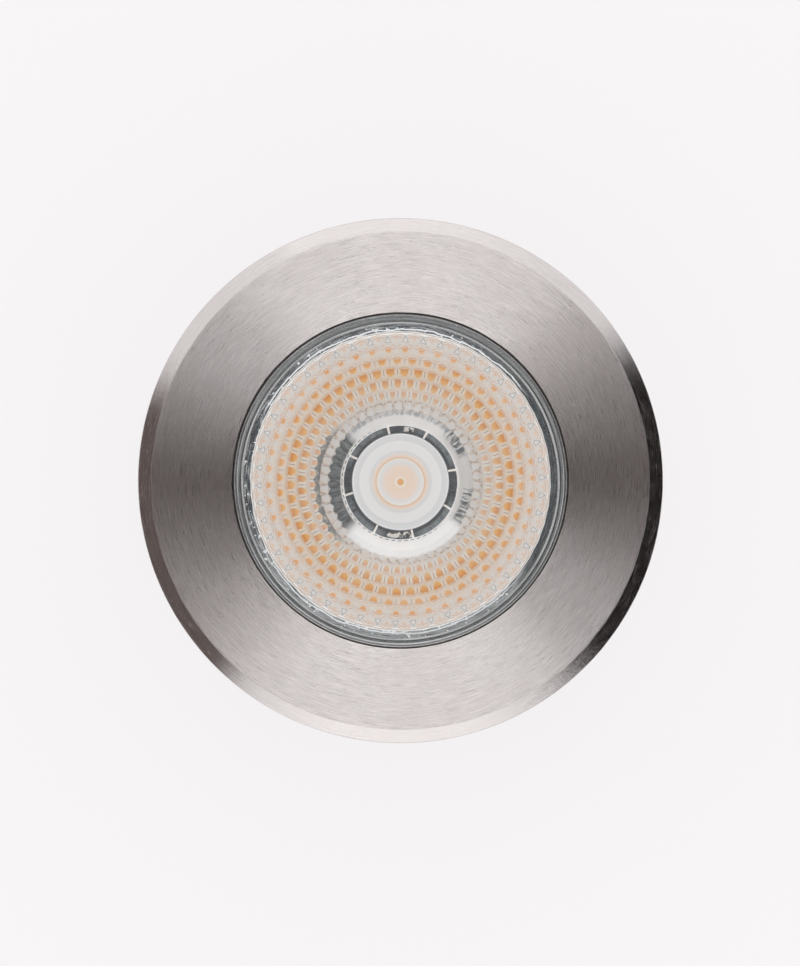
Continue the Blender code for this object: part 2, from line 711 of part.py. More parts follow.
# LED module on the housing's floor


def make_led_module():
    pad_side = SUBSTRATE_SIDE + 2 * PAD_MARGIN
    pad_middle = up((pad_top + pad_bottom) / 2)
    block("thermal_pad", (pad_side, pad_side, PAD_THICKNESS), (0.0, 0.0, pad_middle), THERMAL_GREY)
    substrate_size = (SUBSTRATE_SIDE, SUBSTRATE_SIDE, SUBSTRATE_THICKNESS)
    substrate_middle = up((substrate_top + substrate_bottom) / 2)
    block("led_substrate", substrate_size, (0.0, 0.0, substrate_middle), LED_CERAMIC)
    outline = rod_outline(EMITTER_RADIUS, emitter_top, emitter_bottom)
    turned("led_emitter", outline, MEDIUM_STEPS, LED_PHOSPHOR)


def holder_screw_angle(index):
    return TURN * (index / HOLDER_SCREW_COUNT + 1 / 4)


def holder_ear(index):
    """The round ear for one of the holder's screws, and the neck that carries it."""
    angle = holder_screw_angle(index)
    centre = on_circle(holder_screw_circle, angle)
    inner = holder_radius - SINK
    outer = holder_screw_circle - HOLDER_EAR_RADIUS / 2
    width = 2 * HOLDER_EAR_RADIUS * HOLDER_NECK_SHARE
    middle = up((holder_bottom + holder_ear_top) / 2)
    return [
        rod(f"holder_ear_{index}", HOLDER_EAR_RADIUS, holder_ear_top, holder_bottom, centre),
        block(
            f"holder_neck_{index}",
            (outer - inner, width, HOLDER_EAR_THICKNESS),
            (*on_circle((inner + outer) / 2, angle), middle),
            angle=angle,
        ),
    ]


def holder_notches():
    """The short radial notches in the lip round the LED, which stand in pairs."""
    notches = []
    length = 2 * HOLDER_LIP
    for pair in range(HOLDER_NOTCH_PAIRS):
        for side in (-1, 1):
            angle = HOLDER_NOTCH_TURN + TURN * pair / HOLDER_NOTCH_PAIRS + side * HOLDER_NOTCH_SPREAD / 2
            notches.append(
                block(
                    f"holder_notch_{len(notches)}",
                    (length, HOLDER_NOTCH_WIDTH, 2 * OVERRUN),
                    (*on_circle(holder_aperture_radius, angle), up(emitter_top)),
                    angle=angle,
                )
            )
    return notches


def make_led_holder():
    rim_top = up(emitter_top) + HOLDER_RIM_HEIGHT
    outline = [
        (holder_aperture_radius, up(emitter_top)),
        (holder_rim_bore, up(emitter_top)),
        (holder_rim_bore, rim_top),
        (holder_radius, rim_top),
        (holder_radius, up(holder_bottom)),
        (holder_pocket, up(holder_bottom)),
        (holder_pocket, up(emitter_bottom)),
        (holder_aperture_radius, up(emitter_bottom)),
    ]
    holder = turned("led_holder", outline, BODY_STEPS, HOLDER_PLASTIC)
    ears = []
    holes = []
    for index in range(HOLDER_SCREW_COUNT):
        centre = on_circle(holder_screw_circle, holder_screw_angle(index))
        length = SEAT_GAP + HOLDER_EAR_THICKNESS + FLOOR_THICKNESS / 2
        pan_screw(f"led_holder_screw_{index + 1}", length, centre, holder_ear_top)
        hole_radius = PAN_SHANK_RADIUS + SEAT_GAP
        top, bottom = holder_ear_top - OVERRUN, holder_bottom + OVERRUN
        holes.append(rod(f"holder_hole_{index}", hole_radius, top, bottom, centre))
        ears += holder_ear(index)
    combine(holder, "UNION", ears)
    combine(holder, "DIFFERENCE", holes + holder_notches())


# Finned housing


def spring_angle(index):
    return TURN * index / SPRING_COUNT


def cover_screw_angle(index):
    return TURN * (index + 1 / 2) / COVER_SCREW_COUNT


def fin_outline():
    """The plan of the tapered fins. One fin is left out where each retaining spring stands."""
    root = core_radius - SINK
    points = []
    for index in range(FIN_PITCHES):
        angle = TURN * index / FIN_PITCHES
        if index % (FIN_PITCHES // SPRING_COUNT) == 0:
            points.append(on_circle(root, angle))
            continue
        for radius, half in (
            (root, -FIN_ROOT_THICKNESS / 2),
            (fin_radius, -FIN_TIP_THICKNESS / 2),
            (fin_radius, FIN_TIP_THICKNESS / 2),
            (root, FIN_ROOT_THICKNESS / 2),
        ):
            points.append(on_circle(radius, angle + math.asin(half / radius)))
    return points


def fin_ring():
    hole = circle(core_radius - HOUSING_WALL / 2, BODY_STEPS)
    ring = prism("fin_ring", fin_outline(), fins_bottom - fins_top, hole)
    ring.location.z = up((fins_top + fins_bottom) / 2)
    return ring


def housing_holes():
    """The tapped holes for the screws, and the hole in the floor that the LED's leads come up through."""
    holes = []
    for index in range(SPRING_COUNT):
        floor = spring_boss_face - SPRING_SCREW_REACH - SEAT_GAP
        holes.append(
            radial_rod(
                f"spring_tapping_{index}",
                PAN_SHANK_RADIUS + TAPPING_GAP,
                floor,
                spring_boss_face + OVERRUN,
                spring_screw_depth,
                spring_angle(index),
            )
        )
    for index in range(COVER_SCREW_COUNT):
        centre = on_circle(cover_screw_circle, cover_screw_angle(index))
        radius = COVER_SHANK_RADIUS + TAPPING_GAP
        top = cover_bottom - COVER_HEAD_HEIGHT - COVER_THREAD_LENGTH - SEAT_GAP
        holes.append(rod(f"cover_tapping_{index}", radius, top, housing_bottom + OVERRUN, centre))
    for index in range(HOLDER_SCREW_COUNT):
        centre = on_circle(holder_screw_circle, holder_screw_angle(index))
        radius = PAN_SHANK_RADIUS + TAPPING_GAP
        bottom = floor_top + FLOOR_THICKNESS / 2
        holes.append(rod(f"holder_tapping_{index}", radius, floor_top - OVERRUN, bottom, centre))
    centre = (lead_circle, 0.0)
    top, bottom = floor_top - OVERRUN, floor_bottom + OVERRUN
    holes.append(rod("lead_hole", lead_hole_radius, top, bottom, centre))
    return holes


def make_housing():
    outline = [
        (0.0, up(floor_top)),
        (housing_bore, up(floor_top)),
        (housing_bore, up(ledge_depth)),
        (lens_seat_bore, up(ledge_depth)),
        (lens_seat_bore, up(rim_depth)),
        (collar_radius - EDGE_BREAK, up(rim_depth)),
        (collar_radius, up(rim_depth) - EDGE_BREAK),
        (collar_radius, up(collar_bottom)),
        (core_radius, up(fins_top)),
        (core_radius, up(rear_flange_top)),
        (rear_flange_radius, up(rear_flange_top)),
        (rear_flange_radius, up(housing_bottom)),
        (chamber_radius, up(housing_bottom)),
        (chamber_radius, up(floor_bottom)),
        (0.0, up(floor_bottom)),
    ]
    housing = turned("housing", outline, BODY_STEPS, CAST_ALUMINIUM)
    bosses = [
        radial_rod(
            f"spring_boss_{index}",
            SPRING_BOSS_RADIUS,
            core_radius - HOUSING_WALL / 2,
            spring_boss_face,
            spring_screw_depth,
            spring_angle(index),
        )
        for index in range(SPRING_COUNT)
    ]
    combine(housing, "UNION", [fin_ring(), *bosses])
    combine(housing, "DIFFERENCE", housing_holes())


# Retaining springs


def spring_belly():
    """The radius of the sheet's middle at the belly, where its corners stay clear of the sleeve's flats."""
    reach = sleeve_bore * math.cos(math.pi / BODY_STEPS) - SEAT_GAP
    return math.sqrt(reach * reach - SPRING_WIDTH * SPRING_WIDTH / 4) - SPRING_THICKNESS / 2


def spring_profile():
    """The sheet's side view as (radius, height), with the screw at zero: an upright tab, then one bow."""
    bow = spring_belly() - spring_seat
    points = [(0.0, -SPRING_TAB), (0.0, 0.0), (0.0, SPRING_BEND_HEIGHT)]
    for i in range(1, SPRING_BOW_POINTS + 1):
        share = i / SPRING_BOW_POINTS
        out = bow * math.sin(math.pi * SPRING_BOW_SHARE * share)
        points.append((out, SPRING_BEND_HEIGHT + SPRING_BOW_LENGTH * share))
    return points


def make_retaining_spring(index):
    """The bent sheet, the hole in its tab and its screw. Its origin is on the line that it flexes about."""
    name = f"retaining_spring_{index + 1}"
    angle = spring_angle(index)
    half = SPRING_WIDTH / 2
    profile = spring_profile()
    mesh = bpy.data.meshes.new(name)
    verts = [(radius, side, height) for radius, height in profile for side in (-half, half)]
    faces = [(2 * i, 2 * i + 1, 2 * i + 3, 2 * i + 2) for i in range(len(profile) - 1)]
    mesh.from_pydata(verts, [], faces)
    spring = place(name, mesh, SPRING_STEEL)
    spring.location = (*on_circle(spring_seat, angle), up(spring_screw_depth))
    spring.rotation_euler = (0.0, 0.0, angle)
    sheet = spring.modifiers.new("Sheet", "SOLIDIFY")
    sheet.thickness = SPRING_THICKNESS
    sheet.offset = 0.0
    start, end = spring_seat - OVERRUN, spring_seat + OVERRUN
    hole_radius = PAN_SHANK_RADIUS + SEAT_GAP
    hole = radial_rod(f"spring_hole_{index}", hole_radius, start, end, spring_screw_depth, angle)
    combine(spring, "DIFFERENCE", [hole])


def make_spring_screw(index):
    """The screw lies on its side, so its outline's height runs along the radius."""
    angle = spring_angle(index)
    seat = spring_seat + SPRING_THICKNESS / 2 + SEAT_GAP
    length = seat - spring_boss_face + SPRING_SCREW_REACH
    outline = screw_outline(PAN_HEAD_RADIUS, PAN_HEAD_HEIGHT, PAN_SHANK_RADIUS, length)
    screw = turned(f"spring_screw_{index + 1}", outline, SMALL_STEPS, SCREW_STEEL)
    screw.rotation_euler = (0.0, math.pi / 2, angle)
    screw.location = (*on_circle(seat, angle), up(spring_screw_depth))


# Rear cover


def make_rear_cover():
    hole = GLAND_THREAD_RADIUS + SEAT_GAP
    groove_middle = (spigot_top + cover_top) / 2
    groove_top = groove_middle - GROOVE_WIDTH / 2
    groove_bottom = groove_middle + GROOVE_WIDTH / 2
    outline = [
        (hole, up(cover_top)),
        (spigot_bore, up(cover_top)),
        (spigot_bore, up(spigot_top)),
        (spigot_radius, up(spigot_top)),
        (spigot_radius, up(groove_top)),
        (groove_radius, up(groove_top)),
        (groove_radius, up(groove_bottom)),
        (spigot_radius, up(groove_bottom)),
        (spigot_radius, up(cover_top)),
        (rear_flange_radius, up(cover_top)),
        (rear_flange_radius, up(cover_bottom) + EDGE_BREAK),
        (rear_flange_radius - EDGE_BREAK, up(cover_bottom)),
        (hole, up(cover_bottom)),
    ]
    cover = turned("rear_cover", outline, BODY_STEPS, CAST_ALUMINIUM)
    posts = []
    for index in range(POST_COUNT):
        centre = on_circle(post_circle, post_angle(index))
        posts.append(rod(f"board_post_{index}", POST_RADIUS, post_top, cover_top + SINK, centre))
    combine(cover, "UNION", posts)
    combine(cover, "DIFFERENCE", cover_holes())
    ring_middle = (groove_radius + spigot_radius) / 2
    section_radius = min(GROOVE_DEPTH, GROOVE_WIDTH) / 2 - SEAL_GAP
    section = [(ring_middle - x, up(groove_middle) + y) for x, y in circle(section_radius, RING_SIDES)]
    turned("cover_o_ring", section, BODY_STEPS, BLACK_SILICONE)


def cover_holes():
    """The tapped holes in the board's posts, and the sunk holes for the cover's own screws."""
    holes = []
    for index in range(POST_COUNT):
        centre = on_circle(post_circle, post_angle(index))
        radius = PAN_SHANK_RADIUS + TAPPING_GAP
        holes.append(rod(f"post_tapping_{index}", radius, post_top - OVERRUN, cover_top, centre))
    for index in range(COVER_SCREW_COUNT):
        centre = on_circle(cover_screw_circle, cover_screw_angle(index))
        seat = cover_bottom - COVER_HEAD_HEIGHT - SEAT_GAP
        head_hole = COVER_HEAD_RADIUS + SEAT_GAP
        shank_hole = COVER_SHANK_RADIUS + SEAT_GAP
        holes.append(rod(f"cover_sinking_{index}", head_hole, seat, cover_bottom + OVERRUN, centre))
        holes.append(rod(f"cover_hole_{index}", shank_hole, cover_top - OVERRUN, seat + SINK, centre))
    return holes


def make_cover_screw(index):
    """A screw that is driven from below, so it is turned over."""
    outline = screw_outline(
        COVER_HEAD_RADIUS, COVER_HEAD_HEIGHT, COVER_SHANK_RADIUS, COVER_THREAD_LENGTH
    )
    centre = on_circle(cover_screw_circle, cover_screw_angle(index))
    screw = turned(f"cover_screw_{index + 1}", outline, SMALL_STEPS, SCREW_STEEL, centre)
    screw.rotation_euler = (math.pi, 0.0, 0.0)
    screw.location.z = up(cover_bottom) + COVER_HEAD_HEIGHT


# Cable gland


def hex_collar(name, bore, top, bottom):
    """Spanner flats with a round bore, to be joined to a turned body."""
    collar = hexagon(name, GLAND_HEX_FLATS, top, bottom)
    core = rod(name + "_bore", bore, top - OVERRUN, bottom + OVERRUN, (0.0, 0.0), MEDIUM_STEPS)
    return combine(collar, "DIFFERENCE", [core])


def make_gland():
    outline = ring_outline(gland_bore, GLAND_THREAD_RADIUS, cover_top - EDGE_BREAK, gland_stub_bottom)
    body = turned("gland_body", outline, MEDIUM_STEPS, GLAND_NYLON)
    middle_bore = (gland_bore + GLAND_THREAD_RADIUS) / 2
    flats = hex_collar("gland_body_flats", middle_bore, gland_hex_top, gland_hex_bottom)
    combine(body, "UNION", [flats])

    ring_bore = GLAND_THREAD_RADIUS + SEAT_GAP
    outline = ring_outline(ring_bore, ring_bore + GLAND_RING_WIDTH, gland_ring_top, gland_ring_bottom)
    turned("gland_ring", outline, MEDIUM_STEPS, BLACK_SILICONE)

    seal_top_depth = gland_seal_bottom - GLAND_SEAL_HEIGHT
    outline = ring_outline(GLAND_SEAL_BORE_RADIUS, gland_seal_radius, seal_top_depth, gland_seal_bottom)
    turned("gland_seal", outline, MEDIUM_STEPS, BLACK_SILICONE)


def make_gland_nut():
    """The nut's crown closes in below its shoulder, where it presses the seal on to the cable."""
    bore = GLAND_THREAD_RADIUS + SEAT_GAP
    collar = GLAND_HEX_FLATS / 2 - EDGE_BREAK
    flats_bottom = nut_top + NUT_FLATS_HEIGHT
    outline = [
        (bore, up(nut_top)),
        (collar, up(nut_top)),
        (collar, up(flats_bottom)),
        (NUT_CROWN_RADIUS, up(nut_bottom) + NUT_CROWN_BREAK),
        (NUT_CROWN_RADIUS - NUT_CROWN_BREAK, up(nut_bottom)),
        (NUT_MOUTH_RADIUS, up(nut_bottom)),
        (NUT_MOUTH_RADIUS, up(nut_shoulder)),
        (bore, up(nut_shoulder)),
    ]
    nut = turned("gland_nut", outline, MEDIUM_STEPS, GLAND_NYLON)
    middle_bore = (bore + collar) / 2
    flats = hex_collar("gland_nut_flats", middle_bore, nut_top + EDGE_BREAK, flats_bottom - EDGE_BREAK)
    combine(nut, "UNION", [flats])


# Driver board


def post_angle(index):
    return POST_TURN + TURN * index / POST_COUNT


def make_driver_board():
    outline = rod_outline(board_radius, board_top, board_bottom)
    board = turned("driver_board", outline, BODY_STEPS, BOARD_GREEN)
    holes = []
    for index in range(POST_COUNT):
        centre = on_circle(post_circle, post_angle(index))
        radius = PAN_SHANK_RADIUS + SEAT_GAP
        top, bottom = board_top - OVERRUN, board_bottom + OVERRUN
        holes.append(rod(f"board_hole_{index}", radius, top, bottom, centre))
        length = SEAT_GAP + BOARD_THICKNESS + POST_HEIGHT
        pan_screw(f"board_screw_{index + 1}", length, centre, board_top)
    combine(board, "DIFFERENCE", holes)


def make_driver_components():
    """The tall parts on the board, which stand a seat gap above it."""
    for index, angle in enumerate(CAPACITOR_ANGLES):
        centre = on_circle(board_radius * CAPACITOR_CIRCLE_SHARE, angle)
        outline = [
            (0.0, up(capacitor_top)),
            (CAPACITOR_RADIUS - EDGE_BREAK, up(capacitor_top)),
            (CAPACITOR_RADIUS, up(capacitor_top) - EDGE_BREAK),
            (CAPACITOR_RADIUS, up(capacitor_bottom)),
            (0.0, up(capacitor_bottom)),
        ]
        turned(f"driver_capacitor_{index + 1}", outline, SMALL_STEPS, COMPONENT_BLACK, centre)

    seat = up(capacitor_bottom)
    inductor_top = seat + INDUCTOR_HEIGHT
    winding = INDUCTOR_RADIUS - INDUCTOR_WINDING
    outline = [
        (0.0, inductor_top),
        (INDUCTOR_RADIUS, inductor_top),
        (INDUCTOR_RADIUS, inductor_top - INDUCTOR_FLANGE),
        (winding, inductor_top - INDUCTOR_FLANGE),
        (winding, seat + INDUCTOR_FLANGE),
        (INDUCTOR_RADIUS, seat + INDUCTOR_FLANGE),
        (INDUCTOR_RADIUS, seat),
        (0.0, seat),
    ]
    turned("driver_inductor", outline, SMALL_STEPS, COMPONENT_BLACK)


def make_terminal_block():
    """The block for the supply cable, with two wire ports in its outer side."""
    reach = board_radius * TERMINAL_CIRCLE_SHARE
    size = (TERMINAL_WIDTH, TERMINAL_LENGTH, TERMINAL_HEIGHT)
    middle = up(capacitor_bottom) + TERMINAL_HEIGHT / 2
    terminal = block("terminal_block", size, (-reach, 0.0, middle), TERMINAL_GREEN)
    middle_depth = capacitor_bottom - TERMINAL_HEIGHT / 2
    ports = []
    for index, side in enumerate((-1, 1)):
        end = reach + TERMINAL_WIDTH
        name = f"terminal_port_{index}"
        port = radial_rod(name, TERMINAL_PORT_RADIUS, reach, end, middle_depth, math.pi)
        port.location.y = side * TERMINAL_LENGTH / 4
        ports.append(port)
    combine(terminal, "DIFFERENCE", ports)


def make_leads():
    """The LED's two leads rise through the floor, bend inwards and end at the holder's contacts."""
    start = up(board_top) + SEAT_GAP
    end = up(emitter_bottom)
    bend_x = lead_circle - LEAD_BEND
    bend_z = end - LEAD_BEND
    for name, side, material in (
        ("led_lead_positive", 1, LEAD_RED),
        ("led_lead_negative", -1, LEAD_BLACK),
    ):
        y = side * LEAD_SPACING / 2
        route = [(lead_circle, y, start)]
        for i in range(LEAD_BEND_POINTS + 1):
            x, z = on_circle(LEAD_BEND, TURN / 4 * i / LEAD_BEND_POINTS)
            route.append((bend_x + x, y, bend_z + z))
        route.append((holder_radius + SEAT_GAP, y, end))
        wire(name, route, LEAD_RADIUS, material)


def make_lead_grommet():
    flange_bottom = up(floor_top) + SEAT_GAP
    flange_top = flange_bottom + GROMMET_FLANGE_HEIGHT
    flange_radius = grommet_radius + GROMMET_FLANGE
    outline = [
        (grommet_bore, flange_top),
        (flange_radius, flange_top),
        (flange_radius, flange_bottom),
        (grommet_radius, flange_bottom),
        (grommet_radius, up(floor_bottom)),
        (grommet_bore, up(floor_bottom)),
    ]
    turned("lead_grommet", outline, SMALL_STEPS, BLACK_SILICONE, (lead_circle, 0.0))


# Installation sleeve


def sleeve_wall_radius(height):
    """The sleeve's outside, which draws in a little towards the foot."""
    return sleeve_radius - SLEEVE_DRAFT * (1 - height / up(sleeve_top))


def rib_outline():
    """The plan of the sleeve's upright ribs, which reach from inside its wall to its rings."""
    root = sleeve_radius - SLEEVE_WALL / 2
    tip = sleeve_ring_radius - SINK / 2
    half = SLEEVE_RIB_THICKNESS / 2
    points = []
    for index in range(SLEEVE_RIB_COUNT):
        angle = TURN * (index + 1 / 2) / SLEEVE_RIB_COUNT
        for radius, side in ((root, -half), (tip, -half), (tip, half), (root, half)):
            points.append(on_circle(radius, angle + math.asin(side / radius)))
        span = TURN / SLEEVE_RIB_COUNT
        points.extend(on_circle(root, angle + span * share) for share in RIB_GAP_SHARES)
    return points


def cable_notches():
    """One arch, stood up so that it passes through both walls along X."""
    half = NOTCH_WIDTH / 2
    spring_line = NOTCH_HEIGHT - half
    arch = [(-half, -OVERRUN), (half, -OVERRUN)]
    for i in range(NOTCH_ARC_POINTS + 1):
        x, y = on_circle(half, TURN / 2 * i / NOTCH_ARC_POINTS)
        arch.append((x, spring_line + y))
    notches = prism("cable_notches", arch, 2 * (bezel_radius + OVERRUN))
    notches.rotation_euler = (math.pi / 2, 0.0, math.pi / 2)
    return notches


def make_sleeve():
    top = up(sleeve_top)
    flange_bottom = top - SLEEVE_FLANGE_THICKNESS
    outline = [
        (sleeve_bore, top),
        (sleeve_flange_radius, top),
        (sleeve_flange_radius, flange_bottom),
        (sleeve_wall_radius(flange_bottom), flange_bottom),
    ]
    for share in reversed(SLEEVE_RING_HEIGHT_SHARES):
        upper = top * share + SLEEVE_RING_THICKNESS / 2
        lower = top * share - SLEEVE_RING_THICKNESS / 2
        outline += [
            (sleeve_wall_radius(upper), upper),
            (sleeve_ring_radius, upper),
            (sleeve_ring_radius, lower),
            (sleeve_wall_radius(lower), lower),
        ]
    outline += [
        (sleeve_wall_radius(SLEEVE_FOOT_HEIGHT), SLEEVE_FOOT_HEIGHT),
        (sleeve_ring_radius, SLEEVE_FOOT_HEIGHT),
        (sleeve_ring_radius, 0.0),
        (sleeve_bore, 0.0),
    ]
    sleeve = turned("installation_sleeve", outline, BODY_STEPS, SLEEVE_PLASTIC)
    rib_bottom = SLEEVE_FOOT_HEIGHT / 2
    rib_top = top * max(SLEEVE_RING_HEIGHT_SHARES)
    hole = circle(sleeve_bore + SLEEVE_WALL / 4, BODY_STEPS)
    ribs = prism("sleeve_ribs", rib_outline(), rib_top - rib_bottom, hole)
    ribs.location.z = (rib_top + rib_bottom) / 2
    combine(sleeve, "UNION", [ribs])
    combine(sleeve, "DIFFERENCE", [cable_notches()])


def make_flange_seal():
    inner = sleeve_bore + FLANGE_SEAL_INSET
    outer = sleeve_flange_radius - FLANGE_SEAL_INSET
    outline = ring_outline(inner, outer, flange_seal_top, flange_seal_bottom)
    turned("flange_seal", outline, BODY_STEPS, BLACK_SILICONE)


# Assembly


def shade_round():
    """Turns each piece's modifiers into its mesh, shaded smooth except across sharp edges."""
    bpy.context.view_layer.update()
    graph = bpy.context.evaluated_depsgraph_get()
    made = {obj: bpy.data.meshes.new_from_object(obj.evaluated_get(graph)) for obj in PARTS.objects}
    for obj, mesh in made.items():
        obj.modifiers.clear()
        obj.data = mesh
        mesh.name = obj.name
        mesh.shade_smooth()
        mesh.set_sharp_from_angle(angle=SHARP_ANGLE)


def main():
    make_sleeve()
    make_flange_seal()
    make_housing()
    for index in range(SPRING_COUNT):
        make_retaining_spring(index)
        make_spring_screw(index)
    make_led_module()
    make_led_holder()
    make_leads()
    make_lead_grommet()
    make_driver_board()
    make_driver_components()
    make_terminal_block()
    make_rear_cover()
    for index in range(COVER_SCREW_COUNT):
        make_cover_screw(index)
    make_gland()
    make_gland_nut()
    make_lens()
    make_lens_ring()
    make_glass_seal()
    make_glass()
    make_glass_gasket()
    make_bezel()
    shade_round()


main()
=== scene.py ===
"""Looks of the recessed ground light: a brushed steel bezel round stepped glass and a faceted lens.

Lengths are in millimetres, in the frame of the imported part: +Z is up, and the sleeve's foot stands at zero.
Node trees work in metres, but for the lens's pattern.
"""

import math

import bmesh
import bpy
import numpy as np
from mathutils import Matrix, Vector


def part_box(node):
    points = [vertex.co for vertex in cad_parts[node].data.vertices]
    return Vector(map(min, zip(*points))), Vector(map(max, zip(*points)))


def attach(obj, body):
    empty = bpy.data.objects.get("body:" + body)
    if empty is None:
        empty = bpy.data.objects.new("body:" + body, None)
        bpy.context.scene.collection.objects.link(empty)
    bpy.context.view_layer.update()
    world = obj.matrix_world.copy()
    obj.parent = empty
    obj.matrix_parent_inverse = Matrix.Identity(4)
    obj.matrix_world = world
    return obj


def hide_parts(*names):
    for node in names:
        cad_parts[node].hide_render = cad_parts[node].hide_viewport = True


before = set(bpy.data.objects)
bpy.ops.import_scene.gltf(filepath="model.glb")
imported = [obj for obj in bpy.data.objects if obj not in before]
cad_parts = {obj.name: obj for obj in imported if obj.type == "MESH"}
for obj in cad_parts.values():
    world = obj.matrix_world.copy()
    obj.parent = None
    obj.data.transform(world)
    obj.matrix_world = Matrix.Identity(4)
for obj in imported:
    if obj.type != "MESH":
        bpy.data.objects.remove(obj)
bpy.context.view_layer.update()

MM = 0.001
TURN = 2 * math.pi

# The photograph's frame, and where the bezel lies in it, in pixels
IMAGE_WIDTH = 800
IMAGE_HEIGHT = 966
BEZEL_CENTRE_X = 400.5
BEZEL_CENTRE_Y = 480.5
BEZEL_RADIUS_PIXELS = 262.75
CAMERA_DISTANCE = 2000.0
CAMERA_OFFSET = 30.0
SENSOR = 36.0


def in_mm(corners):
    """The corners of a box, from metres into millimetres."""
    return [corner / MM for corner in corners]


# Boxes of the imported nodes, which place the pieces that stand for them
bezel_low, bezel_high = in_mm(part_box("bezel"))
glass_low, glass_high = in_mm(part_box("glass"))
gasket_low, gasket_high = in_mm(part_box("glass_gasket"))
seal_low, seal_high = in_mm(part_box("glass_seal"))
ring_low, ring_high = in_mm(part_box("lens_ring"))
lens_low, lens_high = in_mm(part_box("tir_lens"))
emitter_high = in_mm(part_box("led_emitter"))[1]
housing_low, housing_high = in_mm(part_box("housing"))
cover_low = in_mm(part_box("rear_cover"))[0]
sleeve_high = in_mm(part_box("installation_sleeve"))[1]
flange_seal_low, flange_seal_high = in_mm(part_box("flange_seal"))
nut_low, nut_high = in_mm(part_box("gland_nut"))
gland_low, gland_high = in_mm(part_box("gland_body"))

# Bezel and glass
BEZEL_RADIUS = 45.0
BEZEL_THICKNESS = 3.4
BEZEL_CHAMFER_WIDTH = 2.4
BEZEL_CHAMFER_DEPTH = 1.3
APERTURE_RADIUS = 28.8
SKIRT_RADIUS = 35.35
SKIRT_BORE = 33.05
THREAD_PITCH = 1.5
THREAD_DEPTH = 0.45
GLASS_RADIUS = 28.45
GLASS_FLANGE_RADIUS = 31.45
GLASS_FLANGE_THICKNESS = 3.6

# Lens
LENS_RADIUS = 25.6
LENS_FLANGE_RADIUS = 27.4
LENS_FLANGE_TOP = lens_low.z + 23.2
LENS_FLANGE_BOTTOM = lens_low.z + 21.7
FACET_COLUMNS = 50
FACET_ROWS = 7
FACET_START = 12.5
FACET_PITCH = (LENS_RADIUS - FACET_START) / FACET_ROWS
FACET_CURVE = 6.5
FACET_HALF_WIDTH = 1.9
FACET_PHASE = -0.28
PATTERN_START = 12.33
PATTERN_PITCH = 1.878
LENS_FOOT_RADIUS = 11.9
CAVITY_MOUTH_RADIUS = 9.75
CAVITY_TOP_RADIUS = 8.55
CAVITY_DEPTH = 10.5
DOME_RADIUS = 7.2
DOME_SAG = 1.6

# Lamp head, springs, gland and sleeve
CORE_RADIUS = 29.4
FIN_RADIUS = 34.8
FIN_DEPTH = FIN_RADIUS - CORE_RADIUS
FIN_PITCHES = 24
COLLAR_RADIUS = 32.65
CHAMBER_RADIUS = 25.3
RIM_BORE = 27.62
RIM_STEP = 26.0
COVER_RADIUS = 31.8
COVER_CIRCLE = 28.55
COVER_CHAMFER = 0.45
COVER_BORE = 6.1
COVER_WELL = 20.5
COVER_SPIGOT = 25.0
COVER_GROOVE = 23.5
POST_CIRCLE = 20.3
SPRING_COUNT = 3
SPRING_SEAT = 31.15
SPRING_BOW = 4.79
SPRING_TAB = 3.2
SPRING_SCREW_HEIGHT = housing_low.z + 11.2
GLAND_RADIUS = 5.8
HEXAGON_RADIUS = 8.66
SLEEVE_WALL_RADIUS = 39.15
SLEEVE_BORE = 36.95
SLEEVE_TAPER = 0.5
NOTCH_HALF = 10.5
NOTCH_TOP = 8.5


# Camera


def link(name, data):
    """An object for a mesh or a camera, put into the scene."""
    obj = bpy.data.objects.new(name, data)
    bpy.context.scene.collection.objects.link(obj)
    return obj


def add_camera():
    """Looks straight down on the bezel, whose edge then fills the same circle as in the photograph. The
    lens lies a little low in that circle there, so the camera stands off the axis and its sensor is shifted
    back."""
    data = bpy.data.cameras.new("camera")
    pixel = BEZEL_RADIUS / BEZEL_RADIUS_PIXELS
    data.sensor_width = SENSOR
    data.lens = SENSOR * CAMERA_DISTANCE / (IMAGE_HEIGHT * pixel)
    data.shift_x = (IMAGE_WIDTH / 2 - BEZEL_CENTRE_X) / IMAGE_HEIGHT
    data.shift_y = (BEZEL_CENTRE_Y - IMAGE_HEIGHT / 2 + CAMERA_OFFSET / pixel) / IMAGE_HEIGHT
    camera = link("camera", data)
    camera.location = (0.0, -CAMERA_OFFSET * MM, (bezel_high.z + CAMERA_DISTANCE) * MM)
    bpy.context.scene.camera = camera


add_camera()


# Arithmetic in node trees


def feed(socket, value):
    """Links a value into a socket, or sets it there if it is a plain number or a colour."""
    if isinstance(value, Value):
        value.tree.links.new(value.socket, socket)
    else:
        socket.default_value = (*value, 1.0) if isinstance(value, tuple) else value


def add_node(tree, kind, inputs=None, output=0, **settings):
    """Adds a node with its settings and inputs, and gives one of its outputs."""
    node = tree.nodes.new("ShaderNode" + kind)
    for name, setting in settings.items():
        setattr(node, name, setting)
    for name, value in (inputs or {}).items():
        feed(node.inputs[name], value)
    return Value(node.outputs[output])


def acting(operation):
    """A method that adds the Math node of an operation."""
    return lambda self, *others: self.math(operation, *others)


